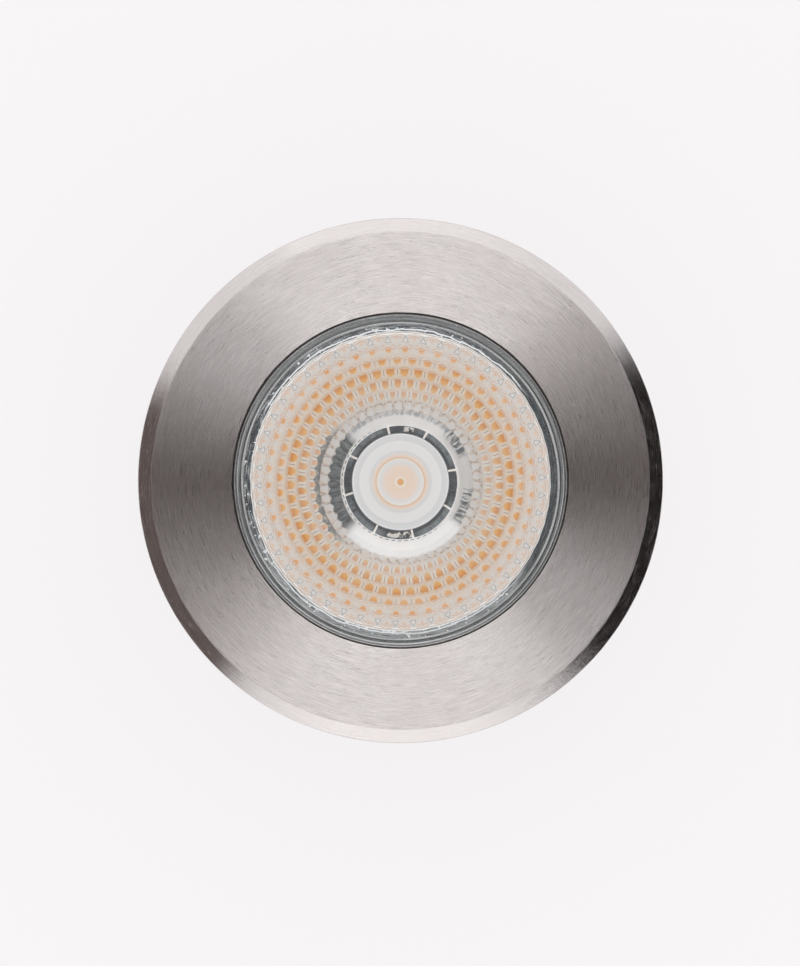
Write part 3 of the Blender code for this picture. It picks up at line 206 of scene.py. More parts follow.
class Value:
    """A number, colour or shader in a node tree. Plain arithmetic on it adds the Math nodes for it."""

    def __init__(self, socket):
        self.socket = socket
        self.tree = socket.id_data

    def math(self, operation, *others, clamp=False):
        inputs = dict(enumerate((self, *others)))
        return add_node(self.tree, "Math", inputs, operation=operation, use_clamp=clamp)

    __add__ = __radd__ = acting("ADD")
    __sub__ = acting("SUBTRACT")
    __mul__ = __rmul__ = acting("MULTIPLY")
    __truediv__ = acting("DIVIDE")
    size, floor, fraction = acting("ABSOLUTE"), acting("FLOOR"), acting("FRACT")
    lowest, highest, power, angle = acting("MINIMUM"), acting("MAXIMUM"), acting("POWER"), acting("ARCTAN2")

    def __rsub__(self, other):
        return self * -1.0 + other

    def held(self):
        """The number kept between nothing and one."""
        return self.math("ADD", 0.0, clamp=True)

    def step(self, start, end):
        """Nothing at start, one at end, and a smooth S between them."""
        inputs = {"Value": self, "From Min": start, "From Max": end}
        return add_node(self.tree, "MapRange", inputs, "Result", interpolation_type="SMOOTHSTEP")

    def band(self, start, full, fading, end):
        """Rises between the first two numbers, and falls between the last two."""
        return self.step(start, full) * self.step(end, fading)

    def line(self, centre, half_width):
        """One on a centre line, and nothing past its half width."""
        return (1.0 - (self - centre).size() / half_width).held()

    def teeth(self, half_width=0.5):
        """A line in the middle between whole numbers."""
        return self.fraction().line(0.5, half_width)


def parted(value, kind="SeparateXYZ"):
    """The three numbers of a vector or a colour."""
    return [Value(output) for output in add_node(value.tree, kind, {0: value}).socket.node.outputs]


def object_place(tree):
    """The three coordinates of the point on its object."""
    return parted(add_node(tree, "TexCoord", output="Object"))


def joined(x, y, z):
    """A vector from three numbers."""
    return add_node(x.tree, "CombineXYZ", {0: x, 1: y, 2: z})


def noise(place, scale, detail=2.0, roughness=0.5):
    """Smooth random clouds, about a half in the middle."""
    inputs = {"Vector": place, "Scale": scale, "Detail": detail, "Roughness": roughness}
    return add_node(place.tree, "TexNoise", inputs, "Fac")


def cells(place, scale):
    """The distance to the middle of the nearest of scattered cells."""
    return add_node(place.tree, "TexVoronoi", {"Vector": place, "Scale": scale}, "Distance")


def chance(place):
    """A number from nothing to one that is the same all over a cell of whole coordinates."""
    return add_node(place.tree, "TexWhiteNoise", {"Vector": place}, "Value")


def blended(share, under, over):
    """One colour laid over another by a share."""
    tree = next(value.tree for value in (share, under, over) if isinstance(value, Value))
    return add_node(tree, "Mix", {0: share, 6: under, 7: over}, 2, data_type="RGBA")


def layered(tone, *layers):
    """A colour with others laid over it in turn, each given as its share and its colour."""
    for share, colour in layers:
        tone = blended(share, tone, colour)
    return tone


def ramp(place, stops, steps=False):
    """Colours along a value, from rows of a position and a colour's three numbers."""
    colour = add_node(place.tree, "ValToRGB", {"Fac": place}, "Color")
    table = colour.socket.node.color_ramp
    table.interpolation = "CONSTANT" if steps else "LINEAR"
    while len(table.elements) < len(stops):
        table.elements.new(1.0)
    for element, (position, *numbers) in zip(table.elements, stops):
        element.position = position
        element.color = (*numbers, 1.0)
    return colour


def raised(height, strength, distance):
    """A bumped normal from a height that changes over the surface."""
    inputs = {"Strength": strength, "Distance": distance, "Height": height}
    return add_node(height.tree, "Bump", inputs, "Normal")


# Effects that several finishes share, each a group of nodes


def new_effect(name, inputs, outputs):
    """An empty group with number inputs and their usual values, and number outputs."""
    tree = bpy.data.node_groups.new(name, "ShaderNodeTree")
    for label, usual in inputs.items():
        socket = tree.interface.new_socket(name=label, in_out="INPUT", socket_type="NodeSocketFloat")
        socket.default_value = usual
    for label in outputs:
        tree.interface.new_socket(name=label, in_out="OUTPUT", socket_type="NodeSocketFloat")
    start, end = tree.nodes.new("NodeGroupInput"), tree.nodes.new("NodeGroupOutput")
    return tree, [Value(start.outputs[label]) for label in inputs], end.inputs


def place_effect(tree, effect, **settings):
    """Puts a group into a material with its own values, and gives its one output or all of them."""
    outputs = add_node(tree, "Group", settings, node_tree=effect).socket.node.outputs
    values = [Value(output) for output in outputs]
    return values if len(values) > 1 else values[0]


def make_turning_lines():
    """Fine lines round the axis, as a lathe or a brush leaves them.

    The noise reads (cos a, sin a) times the streaks per turn, and radius less height over the spacing, so
    each line runs round the axis without a seam, and also crosses walls that stand upright."""
    tree, (spacing, streaks), end = new_effect(
        "turning_lines", {"Spacing": 0.0002, "Streaks": 4.0}, ("Lines", "Scratches"))
    x, y, z = object_place(tree)
    radius = (x * x + y * y).power(0.5).highest(1e-5)
    across = (radius - z) / spacing
    around_x, around_y = x / radius * streaks, y / radius * streaks
    fine = noise(joined(around_x, around_y, across), 1.0, 3.0, 0.65)
    broad = noise(joined(around_x * 0.6, around_y * 0.6, across * 0.21), 1.0)
    feed(end["Lines"], ((fine - 0.5) * 2.8 + (broad - 0.5) * 0.25 + 0.5).held())
    rare = noise(joined(around_x * 4.5 + 3.0, around_y * 4.5, across * 0.55), 1.0, 1.0, 0.4)
    feed(end["Scratches"], rare.step(0.735, 0.79))
    return tree


def make_grain():
    """Fine pits and swellings of a cast, blasted or moulded face, with broad clouds over them."""
    tree, (scale,), end = new_effect("surface_grain", {"Scale": 2500.0}, ("Grain", "Clouds"))
    place = joined(*object_place(tree))
    feed(end["Grain"], (cells(place, scale) * 0.5 + noise(place, scale * 1.7, 3.0, 0.6) * 0.6).held())
    feed(end["Clouds"], noise(place, scale * 0.04, 3.0, 0.55).step(0.3, 0.7))
    return tree


def make_edge_wear():
    """Rubbed edges: where the rounded normal parts from the true one, broken up by noise."""
    tree, (reach, patches), end = new_effect("edge_wear", {"Reach": 0.0004, "Patches": 900.0}, ("Edges",))
    round_normal = add_node(tree, "Bevel", {"Radius": reach}, samples=4)
    true_normal = add_node(tree, "NewGeometry", output="Normal")
    normals = {0: round_normal, 1: true_normal}
    product = add_node(tree, "VectorMath", normals, "Value", operation="DOT_PRODUCT")
    broken = noise(joined(*object_place(tree)), patches, 3.0, 0.6).step(0.36, 0.62)
    feed(end["Edges"], (1.0 - product).step(0.02, 0.22) * broken)
    return tree


def make_dust():
    """Dust that settles in clouds on faces that look up."""
    tree, (scale, amount), end = new_effect("settled_dust", {"Scale": 400.0, "Amount": 0.3}, ("Dust",))
    upward = parted(add_node(tree, "NewGeometry", output="Normal"))[2].step(0.2, 1.0)
    place = joined(*object_place(tree))
    clouds = noise(place, scale, 4.0, 0.65).step(0.4, 0.75)
    specks = noise(place, scale * 14.0, 1.0, 0.5).step(0.62, 0.72)
    feed(end["Dust"], upward * (clouds * 0.7 + specks) * amount)
    return tree


turning_lines = make_turning_lines()
surface_grain = make_grain()
edge_wear = make_edge_wear()
settled_dust = make_dust()


# Finishes


def dress(shader, **values):
    """Feeds a shader's inputs by their names, with _ for a space."""
    for name, value in values.items():
        feed(shader.inputs[name.replace("_", " ")], value)


def new_finish(name, **values):
    """A material, its node tree and its shader, whose inputs get these values."""
    material = bpy.data.materials.new(name)
    material.use_nodes = True
    shader = material.node_tree.nodes["Principled BSDF"]
    dress(shader, **values)
    return material, material.node_tree, shader


def mixed(share, under, over):
    """One shader laid over another by a share."""
    return add_node(under.tree, "MixShader", {0: share, 1: under, 2: over})


def show(surface):
    """Makes a shader its material's surface."""
    feed(surface.tree.nodes["Material Output"].inputs["Surface"], surface)


def see_through(tree):
    """A shader that lets every ray pass."""
    return add_node(tree, "BsdfTransparent")


def is_ray(tree, *kinds):
    """One for rays of any of these kinds."""
    outputs = tree.nodes.new("ShaderNodeLightPath").outputs
    share, *others = [Value(outputs[f"Is {kind} Ray"]) for kind in kinds]
    for other in others:
        share = share.highest(other)
    return share


def make_brushed_steel():
    """Stainless steel with brush lines round the axis. The lines spread reflections along the radius."""
    material, tree, shader = new_finish(
        "brushed_steel_finish", Metallic=1.0, Anisotropic=0.98, Anisotropic_Rotation=0.25)
    lines, scratches = place_effect(tree, turning_lines, Spacing=0.00014, Streaks=11.0)
    clouds = place_effect(tree, surface_grain, Scale=2200.0)[1]
    worn = place_effect(tree, edge_wear, Reach=0.00025)
    flat = object_place(tree)[2].step((bezel_high.z - 0.1) * MM, (bezel_high.z - 0.02) * MM)
    tone = layered(
        (0.65, 0.612, 0.60), (lines, (0.98, 0.93, 0.92)), (clouds * 0.12, (0.66, 0.60, 0.58)),
        (scratches * 0.35, (0.35, 0.32, 0.31)), ((1.0 - flat) * 0.6, (0.65, 0.62, 0.61)),
        (worn * 0.5, (0.88, 0.86, 0.85)))
    height = (lines - scratches * 0.6) * (flat * 0.6 + 0.4)
    dress(shader, Base_Color=tone, Roughness=lines * 0.2 + clouds * 0.03 + flat * 0.17 + 0.06,
          Tangent=add_node(tree, "Tangent", direction_type="RADIAL", axis="Z"),
          Normal=raised(height, 0.9, 0.00003))
    return material


def make_bright_ring():
    """Bright aluminium with the marks of a lathe."""
    material, tree, shader = new_finish("bright_ring_finish", Metallic=1.0)
    lines = place_effect(tree, turning_lines, Spacing=0.00024, Streaks=2.0)[0]
    worn = place_effect(tree, edge_wear, Reach=0.0002)
    tone = layered((0.30, 0.31, 0.32), (lines, (0.66, 0.67, 0.68)), (worn * 0.6, (0.85, 0.85, 0.86)))
    dress(shader, Base_Color=tone, Roughness=lines * 0.12 + 0.2, Normal=raised(lines, 0.2, 0.00002))
    return material


def make_cast_aluminium():
    """Die-cast and blasted: pitted, a little cloudy, and rubbed bright along its edges. The housing's rim,
    which the glass's seal lies on, is machined bright."""
    material, tree, shader = new_finish("cast_aluminium_finish")
    grain, clouds = place_effect(tree, surface_grain, Scale=2600.0)
    worn = place_effect(tree, edge_wear, Reach=0.0005, Patches=500.0)
    dust = place_effect(tree, settled_dust, Amount=0.35)
    machined = object_place(tree)[2].step((housing_high.z - 0.3) * MM, (housing_high.z - 0.1) * MM)
    lines = place_effect(tree, turning_lines, Spacing=0.0002, Streaks=2.0)[0]
    tone = layered(
        (0.30, 0.31, 0.325), (grain, (0.43, 0.44, 0.45)), (clouds * 0.35, (0.33, 0.335, 0.35)),
        (worn * 0.8, (0.66, 0.67, 0.68)), (dust, (0.30, 0.28, 0.25)),
        (machined, blended(lines, (0.62, 0.63, 0.64), (0.94, 0.95, 0.96))))
    dress(shader, Base_Color=tone, Metallic=1.0 - dust * 0.8, Roughness=clouds * 0.1 + 0.44 - worn * 0.15,
          Normal=raised(grain, 0.5, 0.00006))
    return material


def make_moulded(name, low, high, roughness, scale, worn_tone, bump=0.35, dust_amount=0.25):
    """Moulded plastic or rubber: a fine spark-eroded grain, cloudy gloss, pale edges and a little dust."""
    material, tree, shader = new_finish(name + "_finish")
    grain, clouds = place_effect(tree, surface_grain, Scale=scale)
    worn = place_effect(tree, edge_wear, Reach=0.0003)
    dust = place_effect(tree, settled_dust, Amount=dust_amount)
    tone = layered(low, (grain, high), (clouds * 0.3, low), (worn * 0.5, worn_tone), (dust * 0.6, worn_tone))
    dress(shader, Base_Color=tone, Roughness=clouds * 0.12 + dust * 0.2 + roughness,
          Normal=raised(grain, bump, 0.00004))
    return material


def make_screw_steel():
    """Plain stainless wire, cold headed: clouded, with fine scratches and bright rims."""
    material, tree, shader = new_finish("screw_steel_finish", Metallic=1.0)
    grain, clouds = place_effect(tree, surface_grain, Scale=5000.0)
    worn = place_effect(tree, edge_wear, Reach=0.0001)
    tone = layered((0.44, 0.44, 0.46), (clouds, (0.58, 0.58, 0.6)), (worn * 0.7, (0.8, 0.8, 0.81)))
    dress(shader, Base_Color=tone, Roughness=grain * 0.16 + 0.2, Normal=raised(grain, 0.15, 0.00002))
    return material


def make_spring_steel():
    """Rolled strip: long fine lines up its length, and dull where it is clouded."""
    material, tree, shader = new_finish("spring_steel_finish", Metallic=1.0)
    x, y, z = object_place(tree)
    lines = noise(joined(x * 4000.0, y * 4000.0, z * 60.0), 1.0, 3.0, 0.6)
    clouds = place_effect(tree, surface_grain, Scale=3000.0)[1]
    worn = place_effect(tree, edge_wear, Reach=0.00015)
    tone = layered(
        (0.47, 0.47, 0.49), (lines, (0.63, 0.63, 0.64)), (clouds * 0.3, (0.50, 0.48, 0.46)),
        (worn * 0.7, (0.8, 0.8, 0.81)))
    dress(shader, Base_Color=tone, Roughness=lines * 0.12 + 0.2, Normal=raised(lines, 0.15, 0.00002))
    return material


def make_clear(name, tint, ior, smear):
    """Clear glass or acrylic, with a faint film of wiping marks in its gloss. Light for the surfaces behind
    passes straight through, while the eye sees a clear, bending solid."""
    material, tree, shader = new_finish(name, Base_Color=tint, Transmission_Weight=1.0, IOR=ior)
    film = noise(joined(*object_place(tree)), 160.0, 4.0, 0.6).step(0.5, 0.8)
    dress(shader, Roughness=film * smear)
    show(mixed(is_ray(tree, "Shadow", "Diffuse"), Value(shader.outputs[0]), see_through(tree)))
    return material


def make_board_green():
    """Green solder mask over copper: tracks as lanes on a square grid, and small round pads."""
    material, tree, shader = new_finish("board_green_finish")
    x, y, _ = object_place(tree)
    picked = chance(joined((x * 420.0).floor(), (y * 60.0).floor(), 1.0)).step(0.55, 0.56)
    crossed = chance(joined((x * 60.0).floor(), (y * 420.0).floor(), 2.0)).step(0.6, 0.61)
    lane_x, lane_y = ((side * 420.0).teeth(0.42).step(0.2, 0.4) for side in (x, y))
    track = (lane_x * picked).highest(lane_y * crossed)
    pads = cells(joined(x, y, 0.0), 330.0).step(0.22, 0.18)
    grain, clouds = place_effect(tree, surface_grain, Scale=3800.0)
    tone = layered(
        (0.018, 0.15, 0.06), (track, (0.04, 0.26, 0.12)), (pads, (0.62, 0.6, 0.5)),
        (clouds * 0.2, (0.02, 0.16, 0.07)))
    dress(shader, Base_Color=tone, Roughness=grain * 0.1 + 0.22, Normal=raised(track + pads, 0.3, 0.00004))
    return material


def make_phosphor():
    """The LED's yellow-orange silicone, with the chips under it as a square grid of paler spots."""
    material, tree, shader = new_finish("led_phosphor_finish")
    across, along = ((side * 1100.0).teeth(0.34).step(0.0, 0.5) for side in object_place(tree)[:2])
    chips = across * along
    grain, clouds = place_effect(tree, surface_grain, Scale=6000.0)
    tone = layered((0.78, 0.36, 0.07), (grain, (0.88, 0.46, 0.1)), (chips * 0.5, (0.95, 0.62, 0.2)))
    dress(shader, Base_Color=tone, Roughness=clouds * 0.1 + 0.25,
          Normal=raised(chips + grain * 0.3, 0.3, 0.00005))
    return material


# Moulded finishes: two tones, roughness, scale of the grain and tone of worn edges, then depth of the grain
# and share of dust where they aren't the usual ones
MOULDED = {
    "black_silicone": ((0.025, 0.024, 0.025), (0.055, 0.052, 0.053), 0.55, 4200.0, (0.11, 0.11, 0.11)),
    "grey_silicone": ((0.66, 0.67, 0.68), (0.78, 0.79, 0.80), 0.5, 4200.0, (0.5, 0.5, 0.5)),
    "sleeve_plastic": (
        (0.022, 0.022, 0.024), (0.045, 0.045, 0.048), 0.46, 1800.0, (0.13, 0.125, 0.12), 0.45, 0.4),
    "gland_nylon": ((0.03, 0.03, 0.034), (0.06, 0.06, 0.066), 0.36, 2600.0, (0.15, 0.15, 0.155)),
    "holder_plastic": ((0.78, 0.78, 0.76), (0.86, 0.86, 0.845), 0.4, 2600.0, (0.7, 0.69, 0.66), 0.25, 0.1),
    "led_ceramic": ((0.76, 0.76, 0.74), (0.85, 0.85, 0.835), 0.45, 5200.0, (0.6, 0.58, 0.52), 0.3, 0.1),
    "thermal_pad": ((0.34, 0.35, 0.36), (0.44, 0.45, 0.46), 0.75, 3200.0, (0.55, 0.55, 0.55), 0.5, 0.1),
    "component_black": ((0.02, 0.02, 0.024), (0.045, 0.045, 0.05), 0.34, 4200.0, (0.15, 0.15, 0.15)),
    "terminal_green": ((0.06, 0.28, 0.12), (0.1, 0.38, 0.18), 0.34, 3800.0, (0.3, 0.5, 0.34)),
    "lead_red": ((0.45, 0.02, 0.015), (0.6, 0.035, 0.025), 0.36, 5200.0, (0.7, 0.2, 0.17)),
    "lead_black": ((0.02, 0.02, 0.021), (0.045, 0.045, 0.046), 0.36, 5200.0, (0.14, 0.14, 0.14)),
}

brushed_steel = make_brushed_steel()
bright_ring = make_bright_ring()
cast_aluminium = make_cast_aluminium()
screw_steel = make_screw_steel()
spring_steel = make_spring_steel()
moulded = {name: make_moulded(name, *values) for name, values in MOULDED.items()}
clear_glass = make_clear("clear_glass_finish", (0.985, 1.0, 0.997), 1.5, 0.012)
clear_acrylic = make_clear("clear_acrylic_finish", (1.0, 1.0, 1.0), 1.49, 0.01)
board_green = make_board_green()
led_phosphor = make_phosphor()

# Rows of facets from the throat outwards: half width, half height and strength of the lamp's painted
# reflection in each
LAMP_REFLECTION_ROWS = (
    (0.20, 0.20, 0.10), (0.42, 0.52, 0.66), (0.54, 0.70, 0.88), (0.68, 0.64, 1.00), (0.62, 0.43, 0.95),
    (0.48, 0.33, 0.85), (0.24, 0.20, 0.45),
)

# The same rows: strength of the brown lines between facets, of the white bars of painted highlight, and of
# the arcs of painted reflection
SEAM_AND_REFLECTION_ROWS = (
    (0.0, 0.0, 0.0), (0.75, 0.95, 0.3), (0.80, 0.80, 0.5), (0.80, 0.45, 0.8), (0.55, 0.25, 1.0),
    (0.20, 0.15, 1.0), (0.10, 0.10, 0.8),
)

# Radius in millimetres and colour, from the frosted roof of the cavity out to the lens's flange: the lamp,
# its holder and the cavity wall, painted as the lens's images of them, with the cavity wall painted dark
LENS_REFLECTION_TONES = (
    (0.0, 0.88, 0.44, 0.14), (0.55, 0.90, 0.50, 0.20), (0.68, 1.0, 0.98, 0.95), (0.86, 0.98, 0.86, 0.76),
    (1.1, 0.97, 0.775, 0.63), (2.8, 0.96, 0.81, 0.70), (3.2, 0.88, 0.85, 0.83), (3.88, 0.90, 0.88, 0.86),
    (3.98, 1.0, 0.99, 0.98), (4.1, 0.89, 0.68, 0.50), (4.24, 0.86, 0.59, 0.39), (4.4, 0.92, 0.76, 0.63),
    (4.9, 0.90, 0.83, 0.78), (5.15, 0.79, 0.80, 0.81), (5.6, 0.93, 0.93, 0.93), (7.05, 0.94, 0.94, 0.94),
    (7.2, 0.80, 0.81, 0.82), (8.14, 0.84, 0.85, 0.86), (8.24, 1.0, 1.0, 1.0), (8.4, 0.06, 0.08, 0.10),
    (8.6, 0.016, 0.03, 0.046), (9.7, 0.02, 0.034, 0.05), (9.83, 0.08, 0.10, 0.12), (9.95, 1.0, 1.0, 1.0),
    (10.9, 0.89, 0.905, 0.915), (12.3, 0.96, 0.96, 0.96), (12.8, 0.95, 0.90, 0.85), (15.5, 0.97, 0.85, 0.745),
    (19.0, 0.93, 0.755, 0.60), (21.5, 0.88, 0.76, 0.66), (23.6, 0.85, 0.79, 0.745), (25.6, 0.84, 0.82, 0.80),
)
LENS_TONE_SPAN = 27.5


def facing(x, y, radius):
    """A function of an azimuth in degrees: one there, falling to nothing between two cosines of the angle
    away from it."""

    def sector(angle, start, end):
        turn = math.radians(angle)
        return ((x * math.cos(turn) + y * math.sin(turn)) / radius).step(start, end)

    return sector


def row_values(row, table):
    """Three numbers that are the same all over a row of facets."""
    stops = [(i / FACET_ROWS, *values) for i, values in enumerate(table)]
    return parted(ramp((row + 0.5) / FACET_ROWS, stops, steps=True), "SeparateColor")


def paint_facet_reflections(tone, radius, columns, sway, heave):
    """Painted reflections in the facets: a tapered orange spot, the lamp's painted image, that points
    inwards, with thin painted arcs outside it, white bars and patches beside it as painted highlights, brown
    lines between neighbours, and pale wedges of painted reflection in the outer rows."""
    along = ((radius - PATTERN_START) / PATTERN_PITCH).highest(0.0).lowest(FACET_ROWS - 0.001)
    row = along.floor()
    around = columns + 0.5 - FACET_PHASE - (row * 0.5).fraction()
    off = around.fraction() - 0.5
    across = off * radius * (TURN / FACET_COLUMNS) + (sway - 0.5) * 0.34
    height = (along - row - 0.5) * PATTERN_PITCH + (heave - 0.5) * 0.34
    away = across.size()
    seam = (0.5 - off.size()) * radius * (TURN / FACET_COLUMNS)
    luck = chance(joined(around.floor(), row, 0.0))
    half_width, half_height, strength = row_values(row, LAMP_REFLECTION_ROWS)
    lines, bars, arcs = row_values(row, SEAM_AND_REFLECTION_ROWS)
    on_facets = radius.band(PATTERN_START - 0.1, PATTERN_START + 0.15, 25.3, 25.5)
    outer = radius.step(21.0, 23.4)

    # The lamp's painted reflection in each facet: a tapered orange spot with a paler painted halo round it
    low = (height + half_height) / (half_height * 2.0)
    taper = (low * (half_height * 1.4 + 0.75) + 0.28).lowest(1.0)
    side = (half_width * taper - away) / 0.13 + 0.5
    end = (half_height - height.size()) / 0.12 + 0.5
    spot = side.held() * end.held()
    wide = ((half_width * 1.25 - away) / 0.3 + 0.5).held()
    halo = wide * ((half_height * 1.2 - height.size()) / 0.3 + 0.5).held()

    # Painted reflections round the spot: peach arcs with white gaps, white bars of painted highlight beside
    # it, pale wedges with dark blue-grey outlines in the outer rows, and brown lines at the seams
    bend = height + across * across * 0.3 - half_height
    rings = (bend.line(0.26, 0.2) + bend.line(0.74, 0.2)) * (1.3 - away).step(0.0, 0.5)
    gaps = (bend.line(0.50, 0.18) + bend.line(0.98, 0.18) * 0.7) * (1.2 - away).step(0.0, 0.5)
    dash = seam.line(0.0, 0.10) * (height - 0.05).size().step(0.62, 0.38)
    bar = (away - half_width).line(0.24, 0.13) * height.size().step(0.8, 0.5) * bars
    slope = 0.5 - (height + 0.5) * 0.5
    in_wedge = height.size().step(0.56, 0.48)
    wedge = (slope - seam).step(-0.03, 0.06) * in_wedge
    rim = (slope - seam).line(0.0, 0.09) * in_wedge
    base = seam.lowest(1.0).step(0.5, 0.4) * (height + 0.5).line(0.0, 0.07)
    edges = (rim + base).held() * (row.step(5.4, 5.6) * 0.8 + outer * 0.1)
    # Colours of the lamp's painted reflection, deeper orange outwards
    orange = layered(
        (1.0, 0.53, 0.13), (height.step(-0.5, 0.5), (0.86, 0.33, 0.045)), (luck * 0.4, (1.0, 0.65, 0.30)))
    tone = layered(
        tone, (on_facets * (luck * 0.22), (0.97, 0.93, 0.88)),
        (on_facets * halo * strength * 0.35, (0.95, 0.66, 0.42)),
        (on_facets * wedge * (outer * 0.6 + 0.1), (0.95, 0.95, 0.95)),
        (on_facets * edges, (0.24, 0.28, 0.30)), (on_facets * bar, (1.0, 0.98, 0.95)),
        (on_facets * rings * arcs, (0.84, 0.56, 0.37)), (on_facets * gaps * arcs * 0.7, (1.0, 0.97, 0.94)),
        (on_facets * dash * lines, (0.36, 0.20, 0.11)), (on_facets * spot * (strength - luck * 0.12), orange))

    # White beads of painted reflection in the first row, each with painted shade in tan towards one outer
    # corner and a broken tan outline
    aside, upright = across / 0.66, (radius + heave * 0.5 - 13.5) / 0.74
    bead = (aside * aside * aside * aside + upright * upright * upright * upright).power(0.25)
    near = radius.band(12.4, 12.5, 14.2, 14.3)
    inside = near * bead.step(1.05, 0.7)
    tone = layered(
        tone, (inside, (1.0, 0.97, 0.94)),
        (inside * (aside * 0.5 + upright * 0.5).step(-0.2, 1.0) * 0.6, (0.88, 0.60, 0.40)),
        (near * bead.line(1.08, 0.28) * sway.step(0.40, 0.62) * 0.8, (0.42, 0.27, 0.18)))
    # Painted highlights on the bars, the arcs' gaps and the beads, which also glow
    glint = on_facets * (bar + gaps * arcs * 0.6) * (1.0 - spot) * 0.22 + inside * 0.12
    return tone, spot, on_facets, glint


def paint_throat_reflections(tone, radius, columns, x, y):
    """Painted reflections and shade on the clear foot and the cavity wall, which is painted dark: white
    painted ticks in pairs, a serrated white edge of painted highlight with dashes of painted shade, dark
    blue-grey painted shade with a toothed edge on the left and a little on the right, and white painted
    highlights above and below."""
    metres = radius * 0.001
    sector = facing(x, y, metres)
    toothed = (columns - FACET_PHASE).teeth()
    degrees = columns * (360.0 / FACET_COLUMNS)
    fold = (((degrees + 720.0 - 82.5 + 45.0) / 90.0).fraction() * 90.0 - 45.0).size()
    ticks = fold.line(20.5, 1.7).step(0.1, 0.6) * radius.band(8.4, 8.5, 9.8, 9.95)
    serration = noise(joined(x * 900.0, y * 900.0, 0.0), 1.0, 2.0, 0.7)
    rays = noise(joined(x / metres * 22.0, y / metres * 22.0, radius * 0.5), 1.0, 2.0, 0.6)
    edge = (radius + serration * 0.35).step(9.95, 10.05) * (radius + serration * 0.5).step(10.6, 10.35)
    teeth = toothed * 0.45
    # Directions of the painted light: shade on the left and a little on the right, highlights above and
    # below, and a grey painted reflection above
    left, over = sector(179.0, 0.70, 0.80), sector(92.0, 0.62, 0.80)
    right = sector(-20.0, 0.955, 0.985) + sector(36.0, 0.965, 0.99)
    below = sector(274.0, 0.60, 0.70) * radius.step(10.0, 10.15) * (radius - teeth).step(12.9, 12.6)
    above = over * radius.band(10.0, 10.3, 11.4, 12.0)
    grey_reflection_above = over * radius.band(11.2, 11.8, 12.3, 12.7)
    left_shade_band = (radius + serration * 0.3).step(10.45, 10.75) * (radius - teeth).step(12.35, 12.1)
    patch = (radius + serration * 0.4).step(10.9, 11.4) * (radius - teeth).step(12.5, 12.2)
    far_edge = (columns - FACET_PHASE + 0.5).teeth() * 0.5
    # A crescent of dark painted shadow on the left, at the outer edge of the throat
    left_shadow_crescent = (radius + serration * 0.3).step(14.05, 14.25) * (radius - far_edge).step(14.75, 14.5)
    # White painted highlights below, above and on the serrated edge, with dashes of painted shade towards the
    # lower left
    bright = (below + above * 0.5 + edge * 0.6).lowest(1.0) * (0.75 + rays * 0.4)
    dashes = radius.line(10.12, 0.13).step(0.1, 0.7) * (columns * 1.15).teeth().step(0.35, 0.5)
    dashes = dashes * sector(215.0, -0.35, 0.05)
    # Painted reflections on the dark wall: grey-blue towards the diagonals, with darker mottling
    wall = radius.band(8.45, 8.6, 9.8, 9.95)
    corners = (x * y / (metres * metres)).size().step(0.20, 0.42) * radius.step(8.75, 9.15)
    # Pale marks on the wall, towards the bottom and towards the top
    pale_mark_below = sector(268.0, 0.955, 0.98) * radius.band(8.6, 8.7, 9.6, 9.7)
    pale_mark_above = sector(81.0, 0.994, 0.998) * radius.band(8.6, 8.8, 9.6, 9.8)
    # White beads of painted highlight on the roof, towards the bottom
    beads = (columns * 0.9).teeth(0.3).step(0.0, 0.6) * radius.line(3.72, 0.14).step(0.0, 0.5)
    # The painted shade on the left, streaked dark and grey
    streaked = blended(rays.step(0.35, 0.7), (0.03, 0.038, 0.045), (0.22, 0.24, 0.255))
    # White painted highlights on the wall's two lips; these, the ticks and the other highlights also glow
    lips = radius.line(8.26, 0.15) + radius.line(9.97, 0.15)
    light = (bright * (1.0 - dashes) + ticks * 0.6 + lips * 0.6).lowest(1.0)
    return layered(
        tone, (grey_reflection_above * rays.step(0.4, 0.6) * 0.7, (0.42, 0.46, 0.49)), (left_shade_band * left * 0.92, streaked),
        (patch * right.held() * rays.step(0.35, 0.6), (0.16, 0.18, 0.195)),
        (left_shadow_crescent * sector(182.0, 0.66, 0.86) * serration.step(0.15, 0.55) * 0.8, (0.07, 0.08, 0.085)),
        (bright, (1.0, 1.0, 1.0)), (dashes * 0.85, (0.05, 0.06, 0.066)),
        (wall * corners * rays.step(0.25, 0.55) * 0.85, (0.24, 0.30, 0.345)),
        (wall * serration.step(0.45, 0.7) * 0.5, (0.10, 0.125, 0.15)),
        (pale_mark_below * serration.step(0.48, 0.54), (0.80, 0.84, 0.86)),
        (pale_mark_above * serration.step(0.4, 0.5), (0.8, 0.83, 0.85)),
        (beads * sector(265.0, 0.1, 0.5), (1.0, 1.0, 1.0)), (ticks, (0.95, 0.97, 0.98))), light


